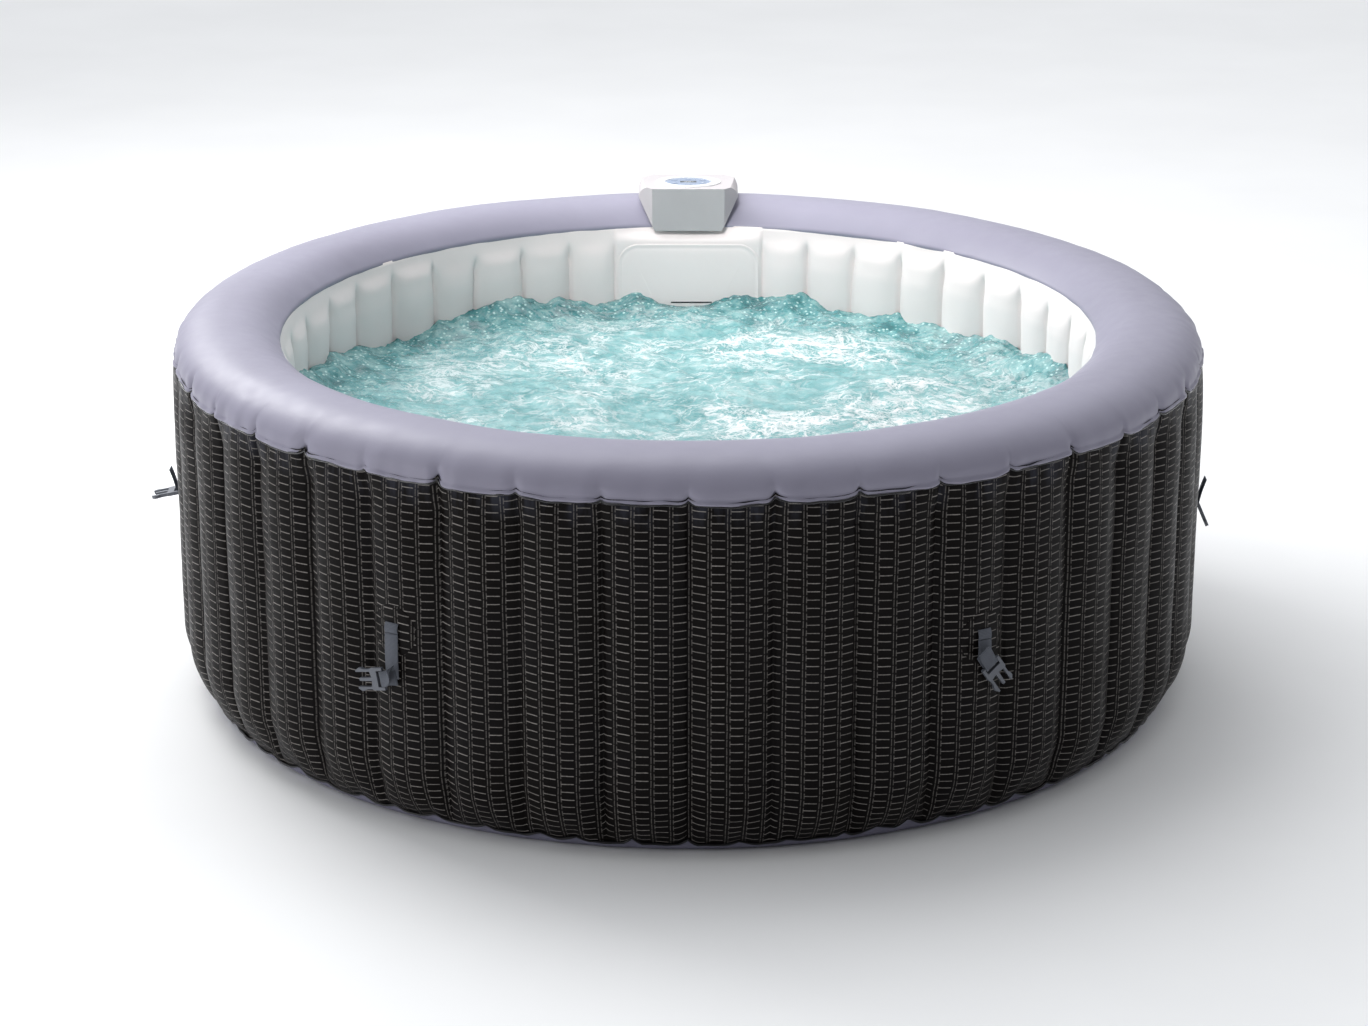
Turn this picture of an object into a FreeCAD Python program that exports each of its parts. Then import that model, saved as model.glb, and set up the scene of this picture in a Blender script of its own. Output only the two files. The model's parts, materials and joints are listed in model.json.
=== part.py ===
import FreeCAD, Part
import math
import os

import Sketcher

# Inflatable hot tub with a built-in control unit, 1.80 m across and 0.65 m tall.
# The origin is the middle of the underside. The bather's front is -Y, the control
# pod stands on the rim at +Y, and +Z is up. All lengths are millimetres.

SIZES = {
    # air chamber skins
    "skin": 1.2,
    "wall_radius": 897,
    "wall_top_radius": 891,
    "wall_straight_top": 500,
    "foot_arc": 157,
    "foot_height": 121,
    "weld_height": 14,
    "shoulder_arc": 787,
    "outer_seam_z": 597,
    "inner_seam_z": 618,
    "inner_radius": 700,
    "inner_seam_radius": 710,
    "inner_straight_top": 540,
    # the rim's section is the circle of radius rim_arc through both seams
    "rim_arc": 111.4,
    "rim_mid_radius": 793.112,
    "rim_mid_z": 543.822,
    "base_radius": 838,
    "floor_radius": 706,
    # internal webs and the air channel at the foot of the inner wall
    "web_count": 42,
    "web_thick": 0.8,
    "web_hole": 30,
    "channel_radius": 676,
    "channel_height": 60,
    "jet_radius": 2,
    # equipment panel on the inner wall
    "panel_half": 138,
    "panel_front": 684.5,
    "panel_thick": 1.5,
    "panel_low": 61,
    "panel_top": 585,
    "panel_corner": 42,
    "bay_half": 122,
    # straps and buckles
    "patch_radius": 42,
    "web_width": 25,
    "web_cloth": 1.5,
    "strap_gap": 1.8,
    "loop_run": 17,
    "tail_run": 40,
    "bar_radius": 2.2,
    "loop_radius": 3,
    "buckle_thick": 6,
    # control pod
    "pod_front": 690,
    "pod_back": 862,
    "pod_wall": 3,
    "pod_low": 610,
    "pod_high": 697,
    "pod_wide_z": 668,
    "pod_half_low": 65,
    "pod_half_wide": 97,
    "pod_half_top": 66,
    "pod_shoulder": 34,
    "pod_nose_half": 70,
    "pod_nose_depth": 46,
    "pod_tilt": 4,
    "dial_y": 770,
    "dial_z": 687.5,
    "bezel_radius": 63,
    "dial_radius": 46,
    "seal_thick": 2.5,
    "saddle_thick": 4,
    "neck_half_x": 47,
    "neck_half_y": 29,
    "neck_y": 800,
    "button_radius": 6.3,
    "button_ring": 32,
    # equipment case in the wall
    "case_half": 140,
    "case_front": 725,
    "case_split": 795,
    "case_back": 870,
    "case_low": 62,
    "case_top": 500,
    "case_wall": 3,
    "cover_half": 130,
    "cover_low": 110,
    "cover_top": 498,
    "window_half": 118,
    "window_low": 124,
    "window_top": 485,
    "screw_x": 108,
    "screw_radius": 2.4,
    "gland_x": 60,
    "gland_z": 150,
    "gland_bore": 4.5,
    # pump, heater and blower
    "water_z": 140,
    "pump_x": -35,
    "return_x": 75,
    "heater_z": 230,
    "water_y": 768,
    "pipe_radius": 17,
    "pipe_wall": 2,
    "pump_radius": 40,
    "blower_x": -45,
    "blower_z": 410,
    "blower_radius": 60,
    "shaft_radius": 4,
    "shaft_play": 0.06,
    "hose_x": -95,
    "hose_z": 42,
    "hose_radius": 10,
    # filter, valve and drain
    "filter_radius": 50,
    "cap_radius": 56.5,
    "valve_z": 470,
    "valve_bore": 11,
    "valve_neck": 17,
    "drain_z": 90,
    "drain_radius": 20,
}

# Each strap: its angle round the wall from the front, its patch's height, the webbing's
# run from the hinge line down to the fold, how far the fold leans the buckle sideways
# and how far the buckle stands out on its bar, in degrees.
STRAPS = {
    "front_left": (-31, 341, 76, -78, 0),
    "front_right": (31, 331, 30, 36, 0),
    "left": (-90, 357, 24, 0, 78),
    "right": (90, 357, 42, 0, 24),
    "back_left": (-150, 350, 47, 0, 0),
    "back_right": (150, 350, 47, 0, 0),
}
BUTTONS = ("power", "heat", "bubble", "filter", "plus", "minus")
# The valve and the drain sit midway between two webs.
WEB_PITCH = 360 / SIZES["web_count"]
VALVE_ANGLE = 18.5 * WEB_PITCH
DRAIN_ANGLE = -14.5 * WEB_PITCH

ALONG = {
    "X": FreeCAD.Rotation(FreeCAD.Vector(0, 1, 0), 90),
    "Y": FreeCAD.Rotation(FreeCAD.Vector(1, 0, 0), -90),
    "Z": FreeCAD.Rotation(),
}

doc = FreeCAD.newDocument("hot_tub")
parts = {}


class Size:
    """A number together with the spreadsheet expression that gives it."""

    def __init__(self, value, text=None):
        self.value = float(value)
        self.text = text or repr(float(value))

    def __add__(self, other):
        other = sized(other)
        return Size(self.value + other.value, f"({self.text} + {other.text})")

    def __sub__(self, other):
        other = sized(other)
        return Size(self.value - other.value, f"({self.text} - {other.text})")

    def __mul__(self, other):
        other = sized(other)
        return Size(self.value * other.value, f"({self.text} * {other.text})")

    def __truediv__(self, other):
        other = sized(other)
        return Size(self.value / other.value, f"({self.text} / {other.text})")

    def __neg__(self):
        return Size(-self.value, f"(0 - {self.text})")

    __radd__ = __add__
    __rmul__ = __mul__

    def __rsub__(self, other):
        return sized(other) - self

    def __rtruediv__(self, other):
        return sized(other) / self


def sized(number):
    return number if isinstance(number, Size) else Size(number)


class Sheet:
    """The driving dimensions, kept in the document's spreadsheet and read by name."""

    def __init__(self, numbers):
        self.cells = doc.addObject("Spreadsheet::Sheet", "Sizes")
        for row, (name, number) in enumerate(numbers.items(), start=1):
            self.cells.set(f"A{row}", name)
            self.cells.set(f"B{row}", str(number))
            self.cells.setAlias(f"B{row}", name)
        doc.recompute()

    def __getattr__(self, name):
        return Size(self.cells.get(name), f"Sizes.{name}")


size = Sheet(SIZES)


# ---- helpers: primitives, booleans and sketches bound to the sheet ----

def bind(thing, prop, number):
    thing.setExpression(prop, sized(number).text)


def move(thing, x, y, z, turn=None):
    """Put a thing at a place that follows the sheet, turned by an optional rotation."""
    spot = [sized(value) for value in (x, y, z)]
    base = FreeCAD.Vector(*(value.value for value in spot))
    thing.Placement = FreeCAD.Placement(base, turn or FreeCAD.Rotation())
    for axis, value in zip("xyz", spot):
        bind(thing, f"Placement.Base.{axis}", value)
    return thing


def box(name, low, high):
    thing = doc.addObject("Part::Box", name)
    for prop, start, end in zip(("Length", "Width", "Height"), low, high):
        bind(thing, prop, sized(end) - start)
    return move(thing, *low)


def cylinder(name, radius, length, base, along="Z"):
    thing = doc.addObject("Part::Cylinder", name)
    bind(thing, "Radius", radius)
    bind(thing, "Height", length)
    return move(thing, *base, ALONG[along])


def torus(name, extra):
    """The rim's round section carried round the tub, thicker by extra."""
    thing = doc.addObject("Part::Torus", name)
    bind(thing, "Radius1", size.rim_mid_radius)
    bind(thing, "Radius2", size.rim_arc + extra)
    return move(thing, 0, 0, size.rim_mid_z)


def cut(name, base, tool):
    thing = doc.addObject("Part::Cut", name)
    thing.Base = base
    thing.Tool = tool
    return thing


def common(name, *shapes):
    thing = doc.addObject("Part::MultiCommon", name)
    thing.Shapes = list(shapes)
    return thing


def fuse(name, *shapes):
    thing = doc.addObject("Part::MultiFuse", name)
    thing.Shapes = list(shapes)
    return thing


def group(name, *shapes):
    thing = doc.addObject("Part::Compound", name)
    thing.Links = list(shapes)
    return thing


def ring(name, outer, inner, length, base, along="Z"):
    """A tube made of one cylinder bored by another."""
    spare = 1
    start = list(base)
    index = "XYZ".index(along)
    start[index] = sized(start[index]) - spare
    solid = cylinder(name + "_outside", outer, length, base, along)
    bore = cylinder(name + "_bore", inner, sized(length) + 2 * spare, start, along)
    return cut(name, solid, bore)


def body(name):
    return doc.addObject("PartDesign::Body", name)


def origin_plane(owner, role):
    return next(item for item in owner.Origin.OriginFeatures if item.Role == role)


def sketch_on(owner, role, name):
    sketch = owner.newObject("Sketcher::SketchObject", name)
    sketch.AttachmentSupport = (origin_plane(owner, role), [""])
    sketch.MapMode = "FlatFace"
    return sketch


def arc_through(start, end, radius):
    """The shorter arc from start to end; a positive radius turns anticlockwise."""
    middle = (start + end) * 0.5
    half = (end - start) * 0.5
    rise = math.sqrt(max(radius * radius - half.Length ** 2, 0))
    normal = FreeCAD.Vector(-half.y, half.x, 0).normalize()
    side = 1 if radius > 0 else -1
    top = middle - normal * (side * (abs(radius) - rise))
    return Part.Arc(start, top, end)


def outline(sketch, corners):
    """Add one closed loop. A corner is (x, y) or (x, y, radius of the edge that leads on)."""
    points = [FreeCAD.Vector(sized(c[0]).value, sized(c[1]).value, 0) for c in corners]
    edges = []
    for index, corner in enumerate(corners):
        start, end = points[index], points[(index + 1) % len(points)]
        if len(corner) == 3:
            curve = arc_through(start, end, sized(corner[2]).value)
            flip = sized(corner[2]).value < 0
        else:
            curve = Part.LineSegment(start, end)
            flip = False
        edges.append((sketch.addGeometry(curve, False), flip))
    for index, (edge, flip) in enumerate(edges):
        following, next_flip = edges[(index + 1) % len(edges)]
        sketch.addConstraint(Sketcher.Constraint(
            "Coincident", edge, 1 if flip else 2, following, 2 if next_flip else 1))
    for index, corner in enumerate(corners):
        edge, flip = edges[index]
        vertex = 2 if flip else 1
        for kind, number in (("DistanceX", corner[0]), ("DistanceY", corner[1])):
            number = sized(number)
            mark = sketch.addConstraint(
                Sketcher.Constraint(kind, -1, 1, edge, vertex, number.value))
            bind(sketch, f"Constraints[{mark}]", number)
        if len(corner) == 3:
            radius = sized(corner[2])
            radius = -radius if radius.value < 0 else radius
            mark = sketch.addConstraint(Sketcher.Constraint("Radius", edge, radius.value))
            bind(sketch, f"Constraints[{mark}]", radius)
    return sketch


def circle(sketch, x, y, radius):
    spot = FreeCAD.Vector(sized(x).value, sized(y).value, 0)
    edge = sketch.addGeometry(
        Part.Circle(spot, FreeCAD.Vector(0, 0, 1), sized(radius).value), False)
    for kind, number in (("DistanceX", x), ("DistanceY", y)):
        number = sized(number)
        mark = sketch.addConstraint(Sketcher.Constraint(kind, -1, 1, edge, 3, number.value))
        bind(sketch, f"Constraints[{mark}]", number)
    mark = sketch.addConstraint(Sketcher.Constraint("Radius", edge, sized(radius).value))
    bind(sketch, f"Constraints[{mark}]", radius)


def revolved(name, corners):
    """A body turned about Z from an outline given as (radius, height)."""
    owner = body(name)
    profile = outline(sketch_on(owner, "XZ_Plane", name + "_profile"), corners)
    turn = owner.newObject("PartDesign::Revolution", name + "_turn")
    turn.Profile = profile
    turn.ReferenceAxis = (profile, ["V_Axis"])
    turn.Angle = 360
    return owner


def padded(name, role, corners, length, middle=False):
    """A body padded from an outline on one of its origin planes."""
    owner = body(name)
    profile = outline(sketch_on(owner, role, name + "_profile"), corners)
    pad = owner.newObject("PartDesign::Pad", name + "_pad")
    pad.Profile = profile
    pad.Midplane = middle
    bind(pad, "Length", length)
    return owner


def bay_point(angle_deg, radius):
    """A place on a circle round the tub, the angle counted from the front (-Y)."""
    angle = math.radians(angle_deg)
    return radius * math.sin(angle), -radius * math.cos(angle)


def facing(angle_deg):
    """Turn a piece made facing +X so that it faces outward at an angle from the front."""
    return FreeCAD.Rotation(FreeCAD.Vector(0, 0, 1), angle_deg - 90)


def sub_part(name, thing):
    thing.Label = name
    parts[name] = thing
    return thing


# ---- air chamber ----

def wall_side(shift):
    """The outer wall's face from the base sheet to the rim seam, moved inward by shift."""
    arc_x = size.wall_radius - size.foot_arc
    weld_drop = size.foot_height - size.weld_height
    reach = math.sqrt(size.foot_arc.value ** 2 - weld_drop.value ** 2)
    reach = Size(reach, f"sqrt(pow({size.foot_arc.text}; 2) - pow({weld_drop.text}; 2))")
    return [
        (size.base_radius - shift, size.skin),
        (arc_x + reach - shift, size.weld_height, size.foot_arc),
        (size.wall_radius - shift, size.foot_height),
        (size.wall_radius - shift, size.wall_straight_top, size.shoulder_arc),
        (size.wall_top_radius - shift, size.outer_seam_z - size.skin),
    ]


def skin_loop(side, back):
    """Close a thin skin between one face and the same face moved back."""
    loop = list(side)
    radii = [corner[2] if len(corner) == 3 else None for corner in back]
    for index in range(len(back) - 1, -1, -1):
        lead = radii[index - 1] if index else None
        corner = back[index][:2]
        loop.append(corner + (-lead,) if lead is not None else corner)
    return loop


def make_outer_wall():
    wall = revolved("wall_skin", skin_loop(wall_side(0), wall_side(size.skin)))
    window = box("wall_window", (-size.window_half, 800, size.window_low),
                 (size.window_half, 950, size.window_top))
    valve = cylinder("wall_valve_hole", 17.2, 60, (0, 0, 0), "X")
    drain = cylinder("wall_drain_hole", size.drain_radius + 0.2, 90, (0, 0, 0), "X")
    for hole, angle, height, start in (
            (valve, VALVE_ANGLE, size.valve_z, 860), (drain, DRAIN_ANGLE, size.drain_z, 830)):
        x, y = bay_point(angle, start)
        move(hole, x, y, height, facing(angle).multiply(ALONG["X"]))
    holes = fuse("wall_holes", window, valve, drain)
    sub_part("outer_wall", cut("outer_wall", wall, holes))


def make_inner_wall():
    def side(shift):
        return [
            (size.inner_radius + shift, 2 * size.skin),
            (size.inner_radius + shift, size.inner_straight_top),
            (size.inner_seam_radius + shift, size.inner_seam_z - size.skin),
        ]

    wall = revolved("liner_skin", skin_loop(side(size.skin), side(0)))
    window = box("liner_window", (-size.bay_half, 640, 70), (size.bay_half, 760, 572))
    air = cylinder("liner_air_hole", size.hose_radius + 0.3, 60,
                   (size.hose_x, 660, size.hose_z), "Y")
    drain = cylinder("liner_drain_hole", size.drain_radius + 0.2, 60, (0, 0, 0), "X")
    x, y = bay_point(DRAIN_ANGLE, 670)
    move(drain, x, y, size.drain_z, facing(DRAIN_ANGLE).multiply(ALONG["X"]))
    sub_part("inner_wall", cut("inner_wall", wall, fuse("liner_holes", window, air, drain)))


def make_rim():
    outer = (size.wall_top_radius, size.outer_seam_z, size.rim_arc)
    inner = (size.inner_seam_radius, size.inner_seam_z)
    below = size.skin
    rim = revolved("rim_skin", [
        outer, inner,
        (size.inner_seam_radius, size.inner_seam_z - below, -size.rim_arc),
        (size.wall_top_radius, size.outer_seam_z - below)])
    gap = 1
    slot = box("rim_slot",
               (-size.neck_half_x - gap, size.neck_y - size.neck_half_y - gap, 600),
               (size.neck_half_x + gap, size.neck_y + size.neck_half_y + gap, 700))
    sub_part("rim_top", cut("rim_top", rim, slot))


def make_floor():
    sub_part("base_sheet", cylinder("base_sheet", size.base_radius, size.skin, (0, 0, 0)))
    sub_part("floor_liner", cylinder("floor_liner", size.floor_radius, size.skin,
                                     (0, 0, size.skin)))


def web_corners():
    """A web's outline, a little inside the skins that it is welded to."""
    near = size.inner_radius + 2 * size.skin
    far = size.wall_radius - 3
    crest = size.rim_mid_z + size.rim_arc
    return [
        (near, 3), (size.base_radius - 2, 3), (size.base_radius + 14, size.weld_height + 2),
        (far - 16, 70), (far, size.foot_height), (far, size.wall_straight_top),
        (size.wall_top_radius - 3, size.outer_seam_z - 5),
        (size.rim_mid_radius + 55, crest - 18), (size.rim_mid_radius, crest - 4),
        (size.rim_mid_radius - 55, crest - 18),
        (size.inner_seam_radius + 3, size.inner_seam_z - 6),
        (near, size.inner_straight_top)]


def web_row(name, start_deg, count, sweep_deg, holes):
    """Radial webs in a polar row that starts an angle away from the back."""
    owner = body(name)
    owner.AllowCompound = True
    profile = outline(sketch_on(owner, "XZ_Plane", name + "_profile"), web_corners())
    if holes:
        for step in range(1, 5):
            circle(profile, size.rim_mid_radius - 3, step * 120, size.web_hole)
    pad = owner.newObject("PartDesign::Pad", name + "_pad")
    pad.Profile = profile
    pad.Midplane = True
    bind(pad, "Length", size.web_thick)
    row = owner.newObject("PartDesign::PolarPattern", name + "_row")
    row.Originals = [pad]
    row.Axis = (origin_axis(owner, "Z_Axis"), [""])
    row.Angle = sweep_deg
    row.Occurrences = count
    owner.Tip = row
    owner.Placement.Rotation = FreeCAD.Rotation(FreeCAD.Vector(0, 0, 1), 90 + start_deg)
    return owner


def origin_axis(owner, role):
    return next(item for item in owner.Origin.OriginFeatures if item.Role == role)


def make_webs():
    pitch = WEB_PITCH
    vented = web_row("vented_webs", 2 * pitch, SIZES["web_count"] - 3, 360 - 4 * pitch, True)
    ends = web_row("bay_end_webs", -1.5 * pitch, 2, 3 * pitch, False)
    sub_part("wall_webs", group("wall_webs", vented, ends))


def make_air_channel():
    """The strip along the foot of the inner wall that carries the blower's air."""
    low = 2 * size.skin + 0.1
    high = size.channel_height
    outer = size.inner_radius - 0.3
    owner = revolved("bubble_channel", [
        (size.channel_radius, low), (size.channel_radius, high), (outer, high),
        (outer, high - size.skin), (size.channel_radius + size.skin, high - size.skin),
        (size.channel_radius + size.skin, low)])
    hole = sketch_on(owner, "YZ_Plane", "jet_profile")
    circle(hole, 0, high / 2, size.jet_radius)
    jet = owner.newObject("PartDesign::Pocket", "jet")
    jet.Profile = hole
    jet.Type = "ThroughAll"
    jet.Reversed = True
    row = owner.newObject("PartDesign::PolarPattern", "jet_row")
    row.Originals = [jet]
    row.Axis = (origin_axis(owner, "Z_Axis"), [""])
    row.Angle = 360
    bind(row, "Occurrences", size.web_count)
    owner.Tip = row
    sub_part("bubble_channel", owner)


def make_equipment_panel():
    corner = size.panel_corner
    half = size.panel_half
    sheet = padded("panel_sheet", "XZ_Plane", [
        (-half, size.panel_low), (half, size.panel_low),
        (half, size.panel_top - corner, corner), (half - corner, size.panel_top),
        (-half + corner, size.panel_top, corner), (-half, size.panel_top - corner)],
        size.panel_thick)
    move(sheet, 0, size.panel_front + size.panel_thick, 0)
    suction = cylinder("suction_hole", 22.3, 20, (size.pump_x, 675, size.water_z), "Y")
    back = cylinder("return_hole", size.pipe_radius + 0.3, 20,
                    (size.return_x, 675, size.water_z), "Y")
    sub_part("equipment_panel", cut("equipment_panel", sheet, fuse("panel_holes", suction, back)))


# ---- straps and buckles ----

def make_patches():
    """Welded patches on the wall, each with the stub of webbing that comes out of it."""
    face = size.wall_radius
    pieces = []
    for name, (angle, height, *_) in STRAPS.items():
        shell = ring(name + "_patch_shell", face + size.skin, face, 2 * size.patch_radius + 6,
                     (0, 0, height - size.patch_radius - 3))
        plug = cylinder(name + "_patch_plug", size.patch_radius, 60, (0, 0, 0), "X")
        x, y = bay_point(angle, face.value - 30)
        move(plug, x, y, height, facing(angle).multiply(ALONG["X"]))
        pieces.append(common(name + "_patch", shell, plug))
        root = face + size.skin
        half = size.web_width / 2
        holder = fuse(name + "_stub",
                      box(name + "_stub_end", (root, -half, height - 1.7),
                          (root + 3.2, half, height + 6)),
                      box(name + "_stub_weld", (root, -half, height + 4),
                          (root + 4, half, height + 12)))
        holder.Placement.Rotation = facing(angle)
        pieces.append(holder)
    sub_part("strap_patches", group("strap_patches", *pieces))


def strap_place(angle, height):
    """The strap's hinge line: just outside the patch, below the stub of webbing."""
    reach = size.wall_radius + size.skin + size.strap_gap + size.web_cloth / 2
    x, y = bay_point(angle, reach.value)
    return FreeCAD.Placement(FreeCAD.Vector(x, y, height - 3), facing(angle))


def loop_turn(run, lean):
    """The fold in the webbing, which leans everything below it to one side."""
    spin = FreeCAD.Rotation(FreeCAD.Vector(1, 0, 0), lean)
    return FreeCAD.Placement(FreeCAD.Vector(0, 0, -run), spin)


def make_strap(name, angle, height, run, lean):
    cloth = size.web_cloth
    half = size.web_width / 2
    band = box(name + "_run", (-cloth / 2, -half, -run), (cloth / 2, half, -0.8))
    near = size.loop_radius + cloth / 2
    outer = size.loop_radius + cloth
    bar = -size.loop_run
    tail = bar + size.tail_run
    hook = padded(name + "_hook", "XZ_Plane", [
        (-cloth / 2, 0), (-cloth / 2, bar, outer), (near, bar - outer, outer),
        (2 * near + cloth / 2, bar), (2 * near + cloth / 2, tail), (2 * near - cloth / 2, tail),
        (2 * near - cloth / 2, bar, -size.loop_radius), (near, bar - size.loop_radius,
                                                         -size.loop_radius),
        (cloth / 2, bar), (cloth / 2, 0)],
        size.web_width, middle=True)
    hook.Placement = loop_turn(run, lean)
    strap = fuse("strap_" + name, band, hook)
    strap.Placement = strap_place(angle, height)
    sub_part("strap_" + name, strap)


def buckle_corners():
    """One half of a male side-release buckle's face, from its arm to its middle prong."""
    half = [
        (13.5, 3), (18.5, 3), (18.5, -19), (16.5, -22), (16.5, -33), (19, -38), (19, -43),
        (15, -49), (12.5, -49), (12.5, -22), (3, -20), (2.5, -44)]
    mirrored = [(-x, z) for x, z in reversed(half)]
    return [(13.5, -9)] + half + mirrored + [(-13.5, -9)]


def make_buckle(name, angle, height, run, lean, out):
    frame = padded(name + "_frame", "YZ_Plane", buckle_corners(), size.buckle_thick, middle=True)
    bar = cylinder(name + "_bar", size.bar_radius, 28, (0, 0, 0), "Y")
    move(bar, 0, -14, 0, ALONG["Y"])
    buckle = fuse("buckle_" + name, frame, bar)
    across = FreeCAD.Rotation(FreeCAD.Vector(0, 1, 0), -out)
    middle = size.loop_radius + size.web_cloth / 2
    at_bar = FreeCAD.Placement(FreeCAD.Vector(middle.value, 0, -size.loop_run.value), across)
    hinge = strap_place(angle, height)
    buckle.Placement = hinge.multiply(loop_turn(run, lean)).multiply(at_bar)
    sub_part("buckle_" + name, buckle)


def make_straps():
    make_patches()
    for name, (angle, height, run, lean, out) in STRAPS.items():
        make_strap(name, angle, height, run, lean)
        make_buckle(name, angle, height, run, lean, out)


# ---- control pod ----

def pod_block(name, inset):
    """The pod's outer shape, drawn in by inset on every side but the underside."""
    low = size.pod_low
    front = padded(name + "_front", "XZ_Plane", [
        (size.pod_half_low - inset, low),
        (size.pod_half_wide - inset, size.pod_wide_z, size.pod_shoulder),
        (size.pod_half_top - inset, size.pod_high),
        (-size.pod_half_top + inset, size.pod_high, size.pod_shoulder),
        (-size.pod_half_wide + inset, size.pod_wide_z), (-size.pod_half_low + inset, low)],
        size.pod_back - size.pod_front - 2 * inset)
    move(front, 0, size.pod_back - inset, 0)
    nose = size.pod_nose_half - inset * 0.6
    depth = size.pod_nose_depth
    wide = size.pod_half_wide + 2 - inset
    near = size.pod_front + inset
    far = size.pod_back - inset
    plan = padded(name + "_plan", "XY_Plane", [
        (-nose, near), (nose, near), (wide, near + depth), (wide, far - depth),
        (nose, far), (-nose, far), (-wide, far - depth), (-wide, near + depth)], 160)
    move(plan, 0, 0, 580)
    lid = box(name + "_lid", (0, 0, 0), (300, 300, 200))
    tilt = FreeCAD.Rotation(FreeCAD.Vector(1, 0, 0), -size.pod_tilt.value)
    corner = tilt.multVec(FreeCAD.Vector(-150, -150, -200 - sized(inset).value))
    move(lid, corner.x, size.dial_y + corner.y, size.dial_z + corner.z, tilt)
    return common(name, front, plan, lid)


def on_dial(thing):
    """Seat a piece made about the dial's centre on the pod's sloping top."""
    tilt = FreeCAD.Rotation(FreeCAD.Vector(1, 0, 0), -size.pod_tilt.value)
    return move(thing, 0, size.dial_y, size.dial_z, tilt)


def neck_hole(name, gap):
    return box(name, (-size.neck_half_x - gap, size.neck_y - size.neck_half_y - gap, 600),
               (size.neck_half_x + gap, size.neck_y + size.neck_half_y + gap, 690))


def make_pod():
    saddle_face = size.seal_thick
    cavity = fuse("pod_cavity", pod_block("pod_inside", size.pod_wall),
                  torus("rim_below_pod", saddle_face),
                  on_dial(group("dial_well", cylinder("dial_well_tool", 59, 40, (0, 0, -20)))))
    sub_part("pod_shell", cut("pod_shell", pod_block("pod_outside", 0), cavity))

    saddle_top = torus("saddle_top", saddle_face + size.saddle_thick)
    saddle = cut("saddle_band", common("saddle_inside", pod_block("saddle_block", 3.2), saddle_top),
                 torus("saddle_under", saddle_face + 0.02))
    sub_part("pod_base", cut("pod_base", saddle, neck_hole("saddle_hole", 0.3)))

    gasket = cut("gasket_band", common("gasket_inside", pod_block("gasket_block", 5),
                                       torus("gasket_top", saddle_face - 0.02)),
                 torus("gasket_under", 0.02))
    sub_part("pod_seal", cut("pod_seal", gasket, neck_hole("gasket_hole", 2)))

    wall = size.case_wall
    outside = box("neck_outside",
                  (-size.neck_half_x, size.neck_y - size.neck_half_y, size.case_top),
                  (size.neck_half_x, size.neck_y + size.neck_half_y, 668))
    inside = box("neck_inside",
                 (-size.neck_half_x + wall, size.neck_y - size.neck_half_y + wall, 490),
                 (size.neck_half_x - wall, size.neck_y + size.neck_half_y - wall, 680))
    sub_part("pod_neck", cut("pod_neck", outside, inside))


def button_spots():
    """Where the buttons sit on the dial, evenly round the display."""
    step = 360 / len(BUTTONS)
    for index, name in enumerate(BUTTONS):
        angle = math.radians(90 - index * step)
        reach = size.button_ring.value
        yield name, reach * math.cos(angle), reach * math.sin(angle)


def make_dial():
    flange = ring("bezel_flange", size.bezel_radius, size.dial_radius, 2.2, (0, 0, 0))
    sleeve = ring("bezel_sleeve", 58.8, 50, 9, (0, 0, -9))
    sub_part("panel_bezel", on_dial(fuse("panel_bezel", flange, sleeve)))

    disc = cylinder("overlay_disc", size.dial_radius - 0.05, 1.2, (0, 0, 0))
    openings = [box("display_opening", (-16, -9, -2), (16, 9, 4))]
    for name, x, y in button_spots():
        openings.append(cylinder(name + "_opening", size.button_radius + 0.3, 6, (x, y, -2)))
    overlay = cut("panel_overlay", disc, fuse("overlay_openings", *openings))
    sub_part("panel_overlay", on_dial(overlay))

    lens = fuse("display_lens", box("lens_face", (-15.9, -8.9, 0), (15.9, 8.9, 1)),
                box("lens_flange", (-19, -11, -1.5), (19, 11, 0)))
    sub_part("display_lens", on_dial(lens))
    board = fuse("panel_board", cylinder("board_disc", 49.9, 1.6, (0, 0, -6.2)),
                 box("board_display", (-17, -10, -4.6), (17, 10, -1.5)))
    sub_part("panel_board", on_dial(board))

    for name, x, y in button_spots():
        button = fuse("button_" + name,
                      cylinder(name + "_stem", size.button_radius, 5.2, (x, y, -3.4)),
                      cylinder(name + "_flange", size.button_radius + 1.1, 1.8, (x, y, -3.4)))
        sub_part("button_" + name, on_dial(button))


# ---- equipment case in the wall ----

def case_half(name, near, far, open_far):
    """One half of the case: a tray whose open side faces the other half."""
    wall = size.case_wall
    solid = box(name + "_solid", (-size.case_half, near, size.case_low),
                (size.case_half, far, size.case_top))
    start = near + wall if open_far else near - 5
    end = far + 5 if open_far else far - wall
    hollow = box(name + "_hollow", (-size.case_half + wall, start, size.case_low + wall),
                 (size.case_half - wall, end, size.case_top - wall))
    throat = box(name + "_throat",
                 (-size.neck_half_x + wall, size.neck_y - size.neck_half_y + wall, 480),
                 (size.neck_half_x - wall, size.neck_y + size.neck_half_y - wall, 510))
    return solid, [hollow, throat]


def screw_spots():
    for side in (-1, 1):
        for height in (140, 305, 470):
            yield side * size.screw_x, height


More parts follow.
